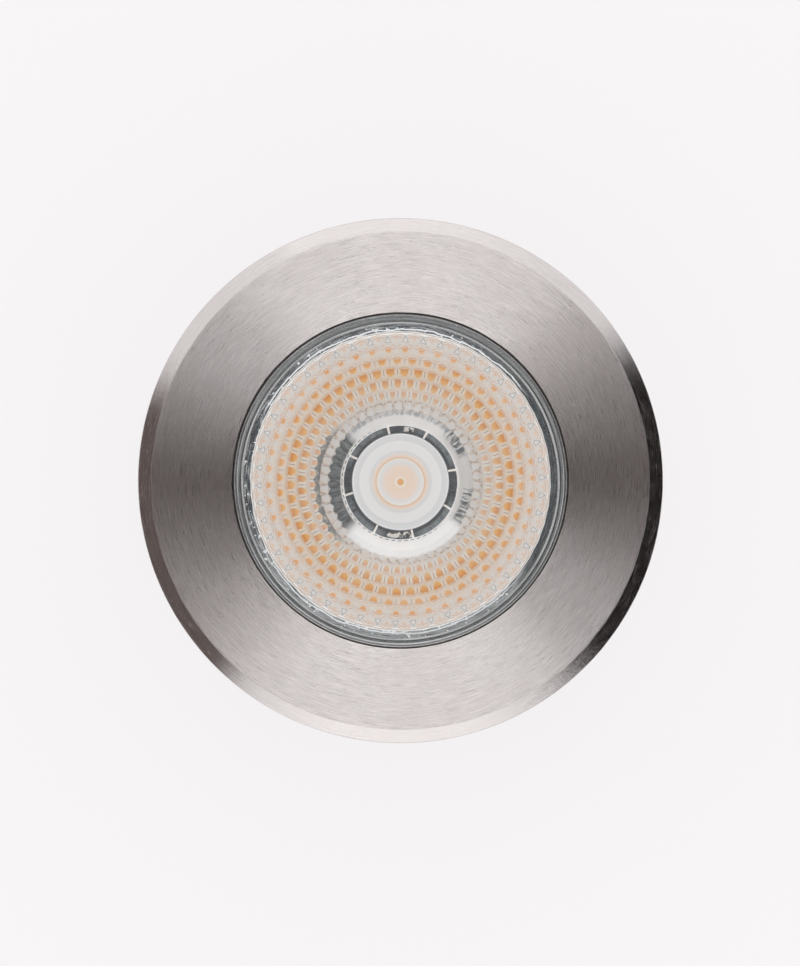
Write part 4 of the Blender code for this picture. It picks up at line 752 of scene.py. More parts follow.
def paint_flange_reflections(tone, radius, columns, x, y):
    """Painted reflections on the lens's rim: a wavy white edge of painted highlight, then a dark blue-grey
    band of painted reflection with long streaks, painted paler above and most of all below, with bright
    flecks of painted glint on the left and below."""
    metres = radius * 0.001
    sector = facing(x, y, metres)
    wave = noise(joined(x * 260.0, y * 260.0, 0.0), 1.0, 3.0, 0.6) - 0.5
    scallop = (columns - FACET_PHASE).teeth() * 0.16
    place = radius + wave * 0.3
    # Painted reflection by direction: paler above and most of all below, and quieter towards the right
    above, below, quiet = sector(95.0, 0.35, 0.95), sector(262.0, 0.30, 0.80), sector(12.0, 0.45, 0.75)
    band = place.step(25.7, 25.8)
    streaks = noise(joined(x / metres * 9.0, y / metres * 9.0, radius * 4.0), 1.0, 3.0, 0.65)
    # The band of painted reflection: near black, paler above and below, with pale and dark streaks
    dark = layered(
        (0.028, 0.036, 0.044), (above * 0.8, (0.16, 0.18, 0.195)), (below * 0.9, (0.40, 0.42, 0.43)),
        (streaks.step(0.50, 0.62) * (0.85 - quiet * 0.7), (0.62, 0.65, 0.67)),
        (streaks.step(0.44, 0.36) * 0.8, (0.01, 0.014, 0.018)))
    # Bright flecks of painted glint, and a white edge and a second white line of painted highlight, which
    # also glow
    flecks = noise(joined(x * 1100.0, y * 1100.0, 0.0), 1.0, 2.0, 0.7).step(0.60, 0.66) * (1.0 - quiet)
    edge = (radius + scallop + wave * 0.12).line(25.66, 0.28).step(0.0, 0.35) * (1.0 - quiet * 0.5)
    second = (place + wave * 0.8).line(26.2, 0.16).step(0.0, 0.5)
    second = second * (above.step(0.1, 0.4) + below * 0.7).lowest(1.0)
    light = (band * flecks + edge + second).lowest(1.0)
    return layered(tone, (band, dark), (light, (1.0, 1.0, 1.0))), light


def make_lens_painted_back():
    """The mirroring side of the lens, seen through its clear face, painted with the lamp's image and the
    reflections and shade that the lens shows, and with a weak painted glow that stands for the light that it
    gathers.
    """
    material, tree, shader = new_finish("lens_painted_back_finish", Emission_Strength=0.36, Specular_IOR_Level=0.06)
    x, y, z = object_place(tree)
    radius = (x * x + y * y).power(0.5) * 1000.0
    columns = y.angle(x) * (FACET_COLUMNS / TURN)
    tone = ramp(radius / LENS_TONE_SPAN, [(at / LENS_TONE_SPAN, *colour) for at, *colour in LENS_REFLECTION_TONES])
    mottle = noise(joined(x, y, z), 900.0, 3.0, 0.6)
    sway, heave = (noise(joined(x, y, level), 1300.0, 2.0, 0.6) for level in (0.0, 0.004))
    tone, spot, on_facets, glint = paint_facet_reflections(tone, radius, columns, sway, heave)
    tone, throat_light = paint_throat_reflections(tone, radius, columns, x, y)
    tone, rim_light = paint_flange_reflections(tone, radius, columns, x, y)
    tone = blended(mottle.step(0.45, 0.75) * on_facets * 0.1, tone, (0.6, 0.57, 0.54))
    # The painted highlights and a band round 15 mm glow: a painted glow, a third of the painted colours and
    # near white in the highlights, though the lens is no lamp
    gleam = (throat_light + rim_light + radius.line(15.0, 3.6) * 0.16 + glint).lowest(1.0)
    dress(shader, Base_Color=tone,
          Emission_Color=blended(gleam, blended(0.667, tone, (0.0, 0.0, 0.0)), (0.97, 0.98, 1.0)),
          Roughness=mottle * 0.2 + radius.step(10.2, 10.0) * 0.5 + 0.08,
          Normal=raised(spot * on_facets * 0.5 + mottle * 0.25, 0.3, 0.0001))
    return material


lens_painted_back = make_lens_painted_back()


# Surfaces on grids


def grid_mesh(name, points, closed=(True, False)):
    """A mesh over a grid of points. Either way round may be closed. Doubles are merged and faces look out.

    The grid's faces join each point to the next along both ways. The sum of each face's corner products gives
    the signed volume, and the faces are turned round where it is negative."""
    rows, columns = points.shape[:2]
    index = np.arange(rows * columns).reshape(rows, columns)
    if closed[0]:
        index = np.concatenate([index, index[:1]])
    if closed[1]:
        index = np.concatenate([index, index[:, :1]], axis=1)
    faces = np.stack([index[:-1, :-1], index[1:, :-1], index[1:, 1:], index[:-1, 1:]], axis=-1).reshape(-1, 4)
    flat = points.reshape(-1, 3) * MM
    a, b, c, d = (flat[faces[:, k]] for k in range(4))
    if np.sum(a * np.cross(b, c)) + np.sum(a * np.cross(c, d)) < 0:
        faces = faces[:, ::-1]
    mesh = bpy.data.meshes.new(name)
    mesh.from_pydata(flat.tolist(), [], faces.tolist())
    shape = bmesh.new()
    shape.from_mesh(mesh)
    bmesh.ops.remove_doubles(shape, verts=shape.verts, dist=1e-6)
    bmesh.ops.dissolve_degenerate(shape, edges=shape.edges, dist=1e-7)
    shape.to_mesh(mesh)
    shape.free()
    return mesh


def rounded(reach, steps, *outline, closed=False):
    """The outline with each corner P replaced by the curve (1-t)(1-t) A + 2t(1-t) P + t t B.

    A and B lie on the corner's two sides, a reach away or less than half the side. One more point lies past
    each, so that the flats beside the corner keep their own normals. An open outline keeps its two ends."""
    corner = np.asarray(outline, float)
    before, after = np.roll(corner, 1, axis=0) - corner, np.roll(corner, -1, axis=0) - corner
    length_before = np.linalg.norm(before, axis=1, keepdims=True)
    length_after = np.linalg.norm(after, axis=1, keepdims=True)
    cut = np.minimum(reach, 0.38 * np.minimum(length_before, length_after))
    if not closed:
        cut[0] = cut[-1] = 0.0
    before, after = (before / length_before * cut)[:, None], (after / length_after * cut)[:, None]
    corner = corner[:, None]
    t = np.linspace(0.0, 1.0, steps)[None, :, None]
    curve = (1 - t) ** 2 * (corner + before) + 2 * t * (1 - t) * corner + t * t * (corner + after)
    return np.concatenate([corner + 1.25 * before, curve, corner + 1.25 * after], axis=1).reshape(-1, 2)


def around(steps, turn=0.0):
    """Angles once round the axis, as a column."""
    return turn + np.linspace(0.0, TURN, steps, endpoint=False)[:, None]


def carried(radius, angle, height):
    """A grid of points (r cos a, r sin a, z) from grids of radius, angle and height."""
    radius, angle, height = np.broadcast_arrays(radius, angle, height)
    return np.stack([radius * np.cos(angle), radius * np.sin(angle), height], axis=-1)


def revolved(outline, steps, turn=0.0):
    """A grid: the outline's (radius, height) points carried round the axis."""
    radius, height = np.asarray(outline, float).T
    return carried(radius, around(steps, turn), height)


def upright(radius, heights):
    """An outline that stands upright at one radius."""
    return np.stack([np.full(len(heights), radius), heights], axis=1)


def mirrored(values, sign=1.0):
    """A row with its own mirror image after its last value, which both share."""
    return np.concatenate([sign * values, values[-2::-1]])


def add_piece(name, shape, finish, body, slot, *replaced, sharp=38.0, closed=(True, False)):
    """Puts a finished mesh, or a grid of points, into the scene on its body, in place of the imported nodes
    that it stands for."""
    mesh = shape if isinstance(shape, bpy.types.Mesh) else grid_mesh(name, shape, closed)
    mesh.shade_smooth()
    mesh.set_sharp_from_angle(angle=math.radians(sharp))
    for material in finish if isinstance(finish, tuple) else (finish,):
        mesh.materials.append(material)
    obj = link(name, mesh)
    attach(obj, body)
    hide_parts(*replaced)
    return mesh


def thread_wave(turns):
    """The depth share of a thread's groove at a number of turns: nothing on the crest, one in the root."""
    return np.clip((np.abs((turns % 1.0) * 2 - 1) - 0.2) / 0.6, 0.0, 1.0)


def six_sided(angle):
    """One on a hexagon's corners, less on its flats: cos 30 over cos of the angle from a flat's middle."""
    return math.cos(TURN / 12) / np.cos(angle % (TURN / 6) - TURN / 12)


# Bezel, glass and seals


def make_bezel():
    """A turned ring. Its skirt's bore carries a thread: radius = bore + depth times the wave of
    (height / pitch - angle / turn), which runs out near both ends."""
    face, underside, bottom, rows = bezel_high.z, bezel_high.z - BEZEL_THICKNESS, bezel_low.z, 84
    outside = rounded(
        0.16, 5, (APERTURE_RADIUS, underside), (APERTURE_RADIUS, face),
        (BEZEL_RADIUS - BEZEL_CHAMFER_WIDTH, face), (BEZEL_RADIUS, face - BEZEL_CHAMFER_DEPTH),
        (BEZEL_RADIUS, underside), (SKIRT_RADIUS, underside), (SKIRT_RADIUS, bottom), (SKIRT_BORE, bottom))
    height = np.linspace(bottom + 0.1, underside - 0.6, rows)
    angle = around(320)
    profile = np.concatenate([outside, upright(SKIRT_BORE, height), [(SKIRT_BORE, underside)]])
    radius = np.tile(profile[:, 0], (len(angle), 1))
    run_out = np.clip(np.minimum(height - bottom - 0.4, underside - 1.6 - height), 0.0, 1.0)
    radius[:, -rows - 1 : -1] += THREAD_DEPTH * thread_wave(height / THREAD_PITCH - angle / TURN) * run_out
    add_piece("bezel_ring", carried(radius, angle, profile[:, 1]), brushed_steel, "bezel", "brushed_steel",
              "bezel", sharp=26.0, closed=(True, True))


def make_glass():
    """The stepped pane: a disc with a chamfered and polished edge, on a wider flange."""
    top, bottom = glass_high.z, glass_low.z
    step = bottom + GLASS_FLANGE_THICKNESS
    outline = rounded(
        0.08, 5, (0.0, top), (GLASS_RADIUS - 0.6, top), (GLASS_RADIUS, top - 0.16), (GLASS_RADIUS, step),
        (GLASS_FLANGE_RADIUS, step), (GLASS_FLANGE_RADIUS, bottom), (0.0, bottom))
    add_piece("glass_pane", revolved(outline, 256), clear_glass, "glass_carrier", "clear_glass", "glass",
              sharp=24.0)


def ring(name, outline, finish, slot, node, steps=96, body="lamp_head"):
    """A plain turned or moulded ring."""
    add_piece(name, revolved(outline, steps), finish, body, slot, node, closed=(True, True))


def make_glass_gasket():
    """A flat ring under the bezel, with a thin upright lip that rounds over beside the glass."""
    lip_inner, lip_outer = GLASS_RADIUS + 0.08, APERTURE_RADIUS - 0.04
    flat_top = bezel_high.z - BEZEL_THICKNESS - 0.3
    outline = rounded(
        0.15, 5, (lip_inner, gasket_low.z), (lip_inner, gasket_high.z), (lip_outer, gasket_high.z),
        (lip_outer, flat_top), (GLASS_FLANGE_RADIUS, flat_top), (GLASS_FLANGE_RADIUS, gasket_low.z),
        closed=True)
    ring("gasket_ring", outline, moulded["black_silicone"], "silicone", "glass_gasket", 256, "glass_carrier")


def make_ribbed_ring(name, inner, outer, low, high, ribs, finish, body, node):
    """A flat rubber ring. Its two faces swell into ribs: half height times |sin| of the radius share."""
    share = np.linspace(0.0, 1.0, ribs * 8 + 1)
    radius = inner + (outer - inner) * share
    swell = (high - low) / 2 * (0.78 + 0.22 * np.abs(np.sin(math.pi * ribs * share)))
    faces = [np.stack([radius, (high + low) / 2 + side * swell], axis=1)[::side] for side in (1, -1)]
    ring(name, np.concatenate(faces), finish, "silicone", node, 192, body)


def make_lens_ring():
    """A spun ring with a bright lip, chamfered on its inner edge, that holds the lens's flange down."""
    top, bottom, outer = ring_high.z, ring_low.z, ring_high.x
    inner = outer - 0.42
    outline = rounded(
        0.04, 4, (inner, bottom), (inner, top - 0.14), (inner + 0.1, top), (outer, top), (outer, bottom),
        closed=True)
    ring("lens_ring_turned", outline, bright_ring, "bright_aluminium", "lens_ring", 256)


# Faceted lens


def facet_grid(per_column, per_row):
    """The faceted side of the lens, on a grid of angle and row.

    A point at radius r lies on the parabola z = focus + r r / 4f - f. It is pushed out square to the
    parabola by (D D - d d) / 2R, where d is its distance from the middle of the nearest facet, D the half
    width of a facet and R its curve. Facets stand in rows that are offset by half a facet, so their edges
    meet as hexagons."""
    height = LENS_FLANGE_BOTTOM - emitter_high.z
    focal = (math.hypot(height, LENS_RADIUS) - height) / 2
    u = np.linspace(0.0, FACET_COLUMNS, FACET_COLUMNS * per_column, endpoint=False)[:, None]
    v = np.linspace(0.0, FACET_ROWS, FACET_ROWS * per_row + 1)[None, :]
    u, v = np.broadcast_arrays(u, v)
    radius = FACET_START + FACET_PITCH * v
    slope = radius / (2 * focal)
    stretch = np.sqrt(1 + slope * slope)
    nearest = np.full(u.shape, np.inf)
    for step in (-1, 0, 1):
        row = np.clip(np.floor(v) + step, 0, FACET_ROWS - 1)
        across = ((u - 0.5 * (row % 2) + 0.5) % 1.0 - 0.5) * TURN / FACET_COLUMNS * radius
        nearest = np.minimum(nearest, np.hypot(across, (v - row - 0.5) * FACET_PITCH * stretch))
    edge = np.clip(np.minimum(v, FACET_ROWS - v) / 0.2, 0.0, 1.0)
    bulge = np.maximum(FACET_HALF_WIDTH**2 - nearest**2, 0.0) / (2 * FACET_CURVE) * edge
    z = emitter_high.z + radius * radius / (4 * focal) - focal
    angle = (u + FACET_PHASE) * TURN / FACET_COLUMNS
    return carried(radius + bulge * slope / stretch, angle, z - bulge / stretch)


def make_lens():
    """One closed body: frosted dome, cavity wall, foot, facets, flange and a clear flat face.

    The dome's height falls from the cavity's roof by sag (1 - s s), where s is the share of its radius."""
    facets = facet_grid(10, 11)
    base, face = lens_low.z, lens_high.z
    roof = base + CAVITY_DEPTH
    share = np.linspace(0.0, 1.0, 14)
    dome = np.stack([DOME_RADIUS * share, roof - DOME_SAG * (1 - share**2)], axis=1)
    wall = rounded(
        0.2, 4, dome[-1], (CAVITY_TOP_RADIUS, roof), (CAVITY_MOUTH_RADIUS, base), (LENS_FOOT_RADIUS, base),
        (FACET_START - 0.1, base + 0.4))
    outside = rounded(
        0.18, 5, (LENS_RADIUS + 0.05, LENS_FLANGE_BOTTOM), (LENS_FLANGE_RADIUS, LENS_FLANGE_BOTTOM),
        (LENS_FLANGE_RADIUS, LENS_FLANGE_TOP), (LENS_RADIUS, LENS_FLANGE_TOP), (LENS_RADIUS, face),
        (0.0, face))
    inside, outside = (
        revolved(outline, facets.shape[0], FACET_PHASE * TURN / FACET_COLUMNS)
        for outline in (np.concatenate([dome[:-1], wall]), outside))
    # The back faces carry the lens's painted reflections, shade and glow; the flange's outside, the rim and
    # the face are clear
    mesh = add_piece("lens", np.concatenate([inside, facets, outside], axis=1), (lens_painted_back, clear_acrylic),
                     "lamp_head", "clear_acrylic", "tir_lens", sharp=30.0)
    centre = np.empty(len(mesh.polygons) * 3)
    mesh.polygons.foreach_get("center", centre)
    centre = centre.reshape(-1, 3) / MM
    outer = np.hypot(centre[:, 0], centre[:, 1]) > LENS_RADIUS - 0.1
    clear = (centre[:, 2] > LENS_FLANGE_BOTTOM + 0.05) & (outer | (centre[:, 2] > LENS_FLANGE_TOP))
    mesh.polygons.foreach_set("material_index", clear.astype(np.int32))


# Lamp head


def fin_plan():
    """The plan of the fins as angles and shares of a fin's depth, from the first valley round.

    A fin's flank goes from its root's fillet to its rounded tip: angle = middle + asin(half width /
    radius). Where a spring stands there is no fin, but close columns for its boss."""
    half = np.array([1.6, 1.28, 1.06, 0.87, 0.70, 0.60, 0.38, 0.0])
    share = np.array([0.0, 0.03, 0.09, 0.48, 0.89, 0.963, 1.0, 1.0])
    fin_turn = mirrored(np.arcsin(half / (CORE_RADIUS + share * FIN_DEPTH)), -1.0)
    boss_turn = np.linspace(-0.12, 0.12, 27)
    angles, shares = [], []
    for index in range(FIN_PITCHES):
        plain = index % (FIN_PITCHES // SPRING_COUNT) == 0
        middle = TURN * index / FIN_PITCHES
        angles += [[middle - TURN / FIN_PITCHES / 2], middle + (boss_turn if plain else fin_turn)]
        shares += [[0.0], 0.0 * boss_turn if plain else mirrored(share)]
    return np.concatenate(angles)[:, None], np.concatenate(shares)[:, None]


def make_housing():
    """The die-cast body. Radius = profile + fin share times fin depth, where the fins stand; plus a round
    boss under each spring, which fades over its edge; less the collar's thread, as in the bezel."""
    bottom, rim = housing_low.z, housing_high.z
    floor_bottom, floor_top = rim - 32.8, rim - 26.8
    flange_top, fins_bottom, fins_top, collar_bottom = bottom + 6, bottom + 8, rim - 10, rim - 8
    screw = flange_top + 5.2
    lower = rounded(
        0.45, 5, (0.0, floor_bottom), (CHAMBER_RADIUS, floor_bottom), (CHAMBER_RADIUS, bottom),
        (COVER_RADIUS, bottom), (COVER_RADIUS, flange_top), (CORE_RADIUS, flange_top),
        (CORE_RADIUS, flange_top + 1.2))
    ends = np.array([0.0, 0.0, 0.08, 0.3])
    boss_rows = np.linspace(fins_bottom + 0.4, screw + 3.2, 24)
    above = np.linspace(boss_rows[-1], fins_top, 8)[1:-1]
    wall = np.concatenate([fins_bottom + ends, boss_rows, above, fins_top - ends[::-1]])
    rise = np.ones(len(wall))
    rise[:3] = rise[:-4:-1] = (0.0, 0.93, 0.98)
    thread = np.arange(collar_bottom + 0.5, rim - 0.6, 0.12)
    neck = rounded(
        0.35, 5, (CORE_RADIUS, collar_bottom - 1.2), (CORE_RADIUS, collar_bottom),
        (COLLAR_RADIUS, collar_bottom), (COLLAR_RADIUS, collar_bottom + 0.5))
    upper = rounded(
        0.2, 5, (COLLAR_RADIUS, rim - 0.6), (COLLAR_RADIUS - 0.5, rim), (RIM_BORE, rim),
        (RIM_BORE, rim - 2.2), (RIM_STEP, rim - 2.2), (RIM_STEP, floor_top), (0.0, floor_top))
    profile = np.concatenate([lower, upright(CORE_RADIUS, wall), neck, upright(COLLAR_RADIUS, thread), upper])
    first_wall, first_thread = len(lower), len(lower) + len(wall) + len(neck)
    angle, share = fin_plan()
    radius = np.tile(profile[:, 0], (len(angle), 1))
    radius[:, first_wall : first_wall + len(wall)] += share * FIN_DEPTH * rise
    spring_turn = (angle + TURN / 6) % (TURN / SPRING_COUNT) - TURN / 6
    away = np.hypot(spring_turn * CORE_RADIUS, profile[:, 1] - screw)
    radius += 1.2 * np.clip((3.0 - away) / 0.45, 0.0, 1.0) * (radius < FIN_RADIUS)
    run_out = np.clip(np.minimum(thread - thread[0], thread[-1] - thread) / 0.9, 0.0, 1.0)
    cut = THREAD_DEPTH * thread_wave(thread / THREAD_PITCH - angle / TURN) * run_out
    radius[:, first_thread : first_thread + len(thread)] -= cut
    add_piece("housing_cast", carried(radius, angle, profile[:, 1]), cast_aluminium, "lamp_head",
              "cast_aluminium", "housing", sharp=34.0)


def make_rear_cover():
    """The cover and its sunk holes. Round each screw the square grid is drawn into circles: a point (a, b)
    goes to (a, b) times its larger share over its length, and the ones inside the hole are sunk."""
    bottom, top = cover_low.z, cover_low.z + 5.0
    reach, hole = 2.72, 0.919
    half = np.array([0.1, 0.35, 0.6, 0.85, 0.905, 0.912, 0.919, 0.932, 0.965, 1.0])
    marks = np.concatenate([-half[::-1], half])
    gap = np.linspace(reach / COVER_CIRCLE, TURN / 4 - reach / COVER_CIRCLE, 22)[1:-1]
    one = TURN / 8 + np.concatenate([marks * reach / COVER_CIRCLE, gap])
    angle = np.concatenate([one + TURN / 4 * k for k in range(4)])[:, None]
    side = rounded(
        0.2, 4, (COVER_BORE, bottom + 1.0), (COVER_BORE, top), (COVER_WELL, top), (COVER_WELL, top + 4.0),
        (COVER_SPIGOT, top + 4.0), (COVER_SPIGOT, top + 3.0), (COVER_GROOVE, top + 3.0),
        (COVER_GROOVE, top + 1.0), (COVER_SPIGOT, top + 1.0), (COVER_SPIGOT, top), (COVER_RADIUS, top),
        (COVER_RADIUS, bottom + COVER_CHAMFER), (COVER_RADIUS - COVER_CHAMFER, bottom))
    face = np.concatenate([COVER_CIRCLE + reach * marks[::-1], np.array([22.0, 15.0, 9.0, 6.3, COVER_BORE])])
    height = np.full(len(face), bottom)
    height[-1] += 0.2
    profile = np.concatenate([side, np.stack([face, height], axis=1)])
    radius, angle, z = np.broadcast_arrays(profile[:, 0], angle, profile[:, 1])
    turn = (angle % (TURN / 4)) - TURN / 8
    a, b = (radius - COVER_CIRCLE) / reach, turn * COVER_CIRCLE / reach
    larger = np.maximum(np.abs(a), np.abs(b))
    inside = (np.arange(len(profile)) >= len(side)) & (larger < 1.0)
    scale = np.where(inside, larger / np.maximum(np.hypot(a, b), 1e-9), 1.0)
    scale = 1 + (scale - 1) * np.clip((1.0 - larger) / 0.06, 0.0, 1.0)
    radius = np.where(inside, COVER_CIRCLE + a * scale * reach, radius)
    angle = np.where(inside, angle - turn + b * scale * reach / COVER_CIRCLE, angle)
    z = z + np.where(inside, 1.8 * np.clip((hole + 0.002 - larger) / 0.012, 0.0, 1.0), 0.0)
    meshes = [grid_mesh("cover_disc", carried(radius, angle, z), closed=(True, True))]
    post = rounded(0.2, 4, (0.0, top - 0.3), (2.2, top - 0.3), (2.2, top + 8), (0.0, top + 8))
    for k in range(3):
        turn = TURN / 4 + TURN * k / 3
        points = revolved(post, 32) + np.array([math.cos(turn), math.sin(turn), 0.0]) * POST_CIRCLE
        meshes.append(grid_mesh("post", points))
    mesh = one_mesh("rear_cover_cast", meshes)
    add_piece("rear_cover_cast", mesh, cast_aluminium, "lamp_head", "cast_aluminium", "rear_cover",
              sharp=34.0)


def one_mesh(name, meshes):
    """Several closed meshes as one."""
    shape = bmesh.new()
    for mesh in meshes:
        shape.from_mesh(mesh)
        bpy.data.meshes.remove(mesh)
    whole = bpy.data.meshes.new(name)
    shape.to_mesh(whole)
    shape.free()
    return whole


def make_screw(name, seat, outward, head_radius, head_height, shank_radius, length):
    """A cap screw with a hexagonal socket. The shank's radius falls by a thread's wave, to a cone."""
    socket, floor, pitch = head_radius * 0.5, head_height * 0.45, shank_radius * 0.62
    head = rounded(
        0.28, 5, (socket, head_height - 0.1), (socket + 0.1, head_height), (head_radius, head_height),
        (head_radius, 0.0), (shank_radius, 0.0), (shank_radius, -0.3))
    rows = np.linspace(-0.4, -length + 0.5, int(length / pitch * 8))
    profile = np.concatenate([
        [(0.0, floor), (socket * 0.98, floor), (socket, floor + 0.04)], head, upright(shank_radius, rows),
        [(shank_radius * 0.8, -length + 0.12), (shank_radius * 0.5, -length), (0.0, -length)]])
    angle = around(48)
    radius = np.tile(profile[:, 0], (48, 1))
    radius[:, :4] *= six_sided(angle)
    first = 3 + len(head)
    run_out = np.clip((-0.4 - rows) / pitch, 0.0, 1.0)
    cut = shank_radius * 0.2 * thread_wave(rows / pitch - angle / TURN) * run_out
    radius[:, first : first + len(rows)] -= cut
    first_side = np.cross(outward, (0.0, 0.0, 1.0)) if abs(outward[2]) < 0.5 else np.array([1.0, 0.0, 0.0])
    sides = np.stack([first_side, np.cross(outward, first_side), outward])
    points = carried(radius, angle, profile[:, 1]) @ sides + seat
    add_piece(name + "_turned", points, screw_steel, "lamp_head", "screw_steel", name, sharp=32.0)


def make_screws():
    """Four screws up into the rear cover, and one inwards through the foot of each spring."""
    for k in range(4):
        turn = TURN / 8 + TURN / 4 * k
        seat = np.array([COVER_CIRCLE * math.cos(turn), COVER_CIRCLE * math.sin(turn), cover_low.z + 1.5])
        make_screw(f"cover_screw_{k + 1}", seat, (0.0, 0.0, -1.0), 2.2, 1.5, 1.2, 8.0)
    for k in range(SPRING_COUNT):
        turn = TURN / SPRING_COUNT * k
        out = np.array([math.cos(turn), math.sin(turn), 0.0])
        seat = out * (SPRING_SEAT + 0.55) + np.array([0.0, 0.0, SPRING_SCREW_HEIGHT])
        make_screw(f"spring_screw_{k + 1}", seat, out, 1.8, 1.2, 0.9, 4.3)


def make_springs():
    """Leaf springs. The sheet's middle stands out by bow times sin(0.8 pi s), where s is the share of the
    bow's length, eased in over the bend. Its section is a thin rectangle with round corners, offset along
    the sheet's normal, and its half width shrinks as a circle does over the rounded ends."""
    ease, corner, end = 0.45, 0.14, 1.6
    height = np.concatenate([np.linspace(-SPRING_TAB, 6, 34), np.linspace(6, 30, 60)[1:]])
    height = np.concatenate([height[:1], height[:1] + 0.06, height[1:-1], height[-1:] - 0.08, height[-1:]])
    share = ease * np.logaddexp(0.0, (height - 4.5) / ease) / 25.5
    out = SPRING_BOW * np.sin(0.8 * math.pi * share)
    slope = np.gradient(out, height)
    normal = np.stack([1 / np.sqrt(1 + slope**2), -slope / np.sqrt(1 + slope**2)], axis=1)
    side_turn, thick_turn = np.cos(around(24)[:, 0]), np.sin(around(24)[:, 0])
    near = np.minimum(height - height[0], height[-1] - height).clip(0.0, end)
    half_width = (4.5 - end) + np.sqrt(end**2 - (end - near) ** 2)
    half_width[0] = half_width[-1] = 0.0
    open_row = (half_width > 0)[:, None]
    wide = np.sign(np.round(side_turn, 6)) * np.maximum(half_width - corner, 0.0)[:, None]
    wide = wide + corner * side_turn * open_row
    thick = (np.sign(np.round(thick_turn, 6)) * (0.25 - corner) + corner * thick_turn) * open_row
    reach = SPRING_SEAT + out[:, None] + thick * normal[:, :1]
    z = SPRING_SCREW_HEIGHT + height[:, None] + thick * normal[:, 1:]
    for k in range(SPRING_COUNT):
        cosine, sine = math.cos(TURN / SPRING_COUNT * k), math.sin(TURN / SPRING_COUNT * k)
        points = np.stack([reach * cosine - wide * sine, reach * sine + wide * cosine, z], axis=-1)
        name = f"retaining_spring_{k + 1}"
        add_piece(name + "_strip", points, spring_steel, name, "spring_steel", name, closed=(False, True))


# Cable gland


def make_gland_nut():
    """Spanner flats over a fluted crown. Where the flats are, radius = the smaller of the hexagon and a
    cone at each end, and the crown's flutes are cosines that fade at both ends."""
    top, bottom = nut_high.z, nut_low.z
    angle = around(144)
    flats = np.linspace(top, top - 7.5, 30)
    shoulder = flats[-1]
    cone = np.minimum(7.1 + (top - flats) * 1.8, 7.3 + (flats - shoulder) * 1.8)
    crown = rounded(
        0.3, 6, (7.0, shoulder), (6.95, shoulder - 0.2), (5.95, bottom + 1.1), (4.9, bottom), (3.7, bottom),
        (3.7, bottom + 3.9), (6.1, bottom + 3.9), (6.1, top))
    share = np.linspace(0.04, 0.96, 18)[:, None]
    taper = np.array([(6.95, shoulder - 0.4)]) * (1 - share) + np.array([(5.95, bottom + 1.4)]) * share
    split = 12
    profile = np.concatenate([np.stack([cone, flats], axis=1), crown[:split], taper, crown[split:]])
    radius = np.tile(profile[:, 0], (144, 1))
    radius[:, :30] = np.minimum(HEXAGON_RADIUS * six_sided(angle + TURN / 12), cone)
    cut = 0.26 * (0.5 + 0.5 * np.cos(18 * angle)) * np.sin(math.pi * share[:, 0]) ** 0.5
    radius[:, 30 + split : 48 + split] -= cut
    add_piece("gland_nut_moulded", carried(radius, angle, profile[:, 1]), moulded["gland_nylon"], "lamp_head",
              "gland_nylon", "gland_nut", sharp=32.0, closed=(True, True))


def make_gland_body():
    """The gland's body: a thread above and below its spanner flats, the smaller of hexagon and cones."""
    low, high = gland_low.z, gland_high.z
    hex_low, hex_high = low + 8.0, low + 12.0
    upper = np.arange(high - 0.7, hex_high + 0.1, -0.14)
    lower = np.arange(hex_low - 0.1, low + 0.7, -0.14)
    flats = np.linspace(hex_high, hex_low, 18)
    cone = 7.1 + np.minimum(hex_high - flats, flats - hex_low) * 1.8
    thread = np.concatenate([upper, flats, lower])
    profile = np.concatenate([
        [(5.0, high), (5.3, high), (GLAND_RADIUS, high - 0.5)], upright(GLAND_RADIUS, thread),
        [(GLAND_RADIUS, low + 0.5), (5.3, low), (4.7, low), (4.6, low + 0.1), (4.6, high - 0.1)]])
    angle = around(96)
    radius = np.tile(profile[:, 0], (96, 1))
    radius[:, 3 : 3 + len(thread)] -= 0.35 * thread_wave(thread / 1.4 - angle / TURN)
    first = 3 + len(upper)
    radius[:, first : first + 18] = np.minimum(HEXAGON_RADIUS * six_sided(angle + TURN / 12), cone)
    add_piece("gland_body_moulded", carried(radius, angle, profile[:, 1]), moulded["gland_nylon"],
              "lamp_head", "gland_nylon", "gland_body", sharp=32.0, closed=(True, True))


def make_gland_rubber(name, inner, outer, low, high, node):
    """A plain rubber ring, placed by heights over the gland's foot."""
    low, high = gland_low.z + low, gland_low.z + high
    outline = rounded(0.2, 5, (inner, low), (inner, high), (outer, high), (outer, low), closed=True)
    ring(name, outline, moulded["black_silicone"], "silicone", node)


# Sleeve


def rounded_rib(low, high, reach, r=0.3):
    """Rows (height, radius) round the outside of a ring. A radius of nothing stands for the wall."""
    return [
        (low, 0.0), (low, reach - r), (low + 0.3 * r, reach - 0.3 * r), (low + r, reach),
        (high - r, reach), (high - 0.3 * r, reach - 0.3 * r), (high, reach - r), (high, 0.0),
    ]


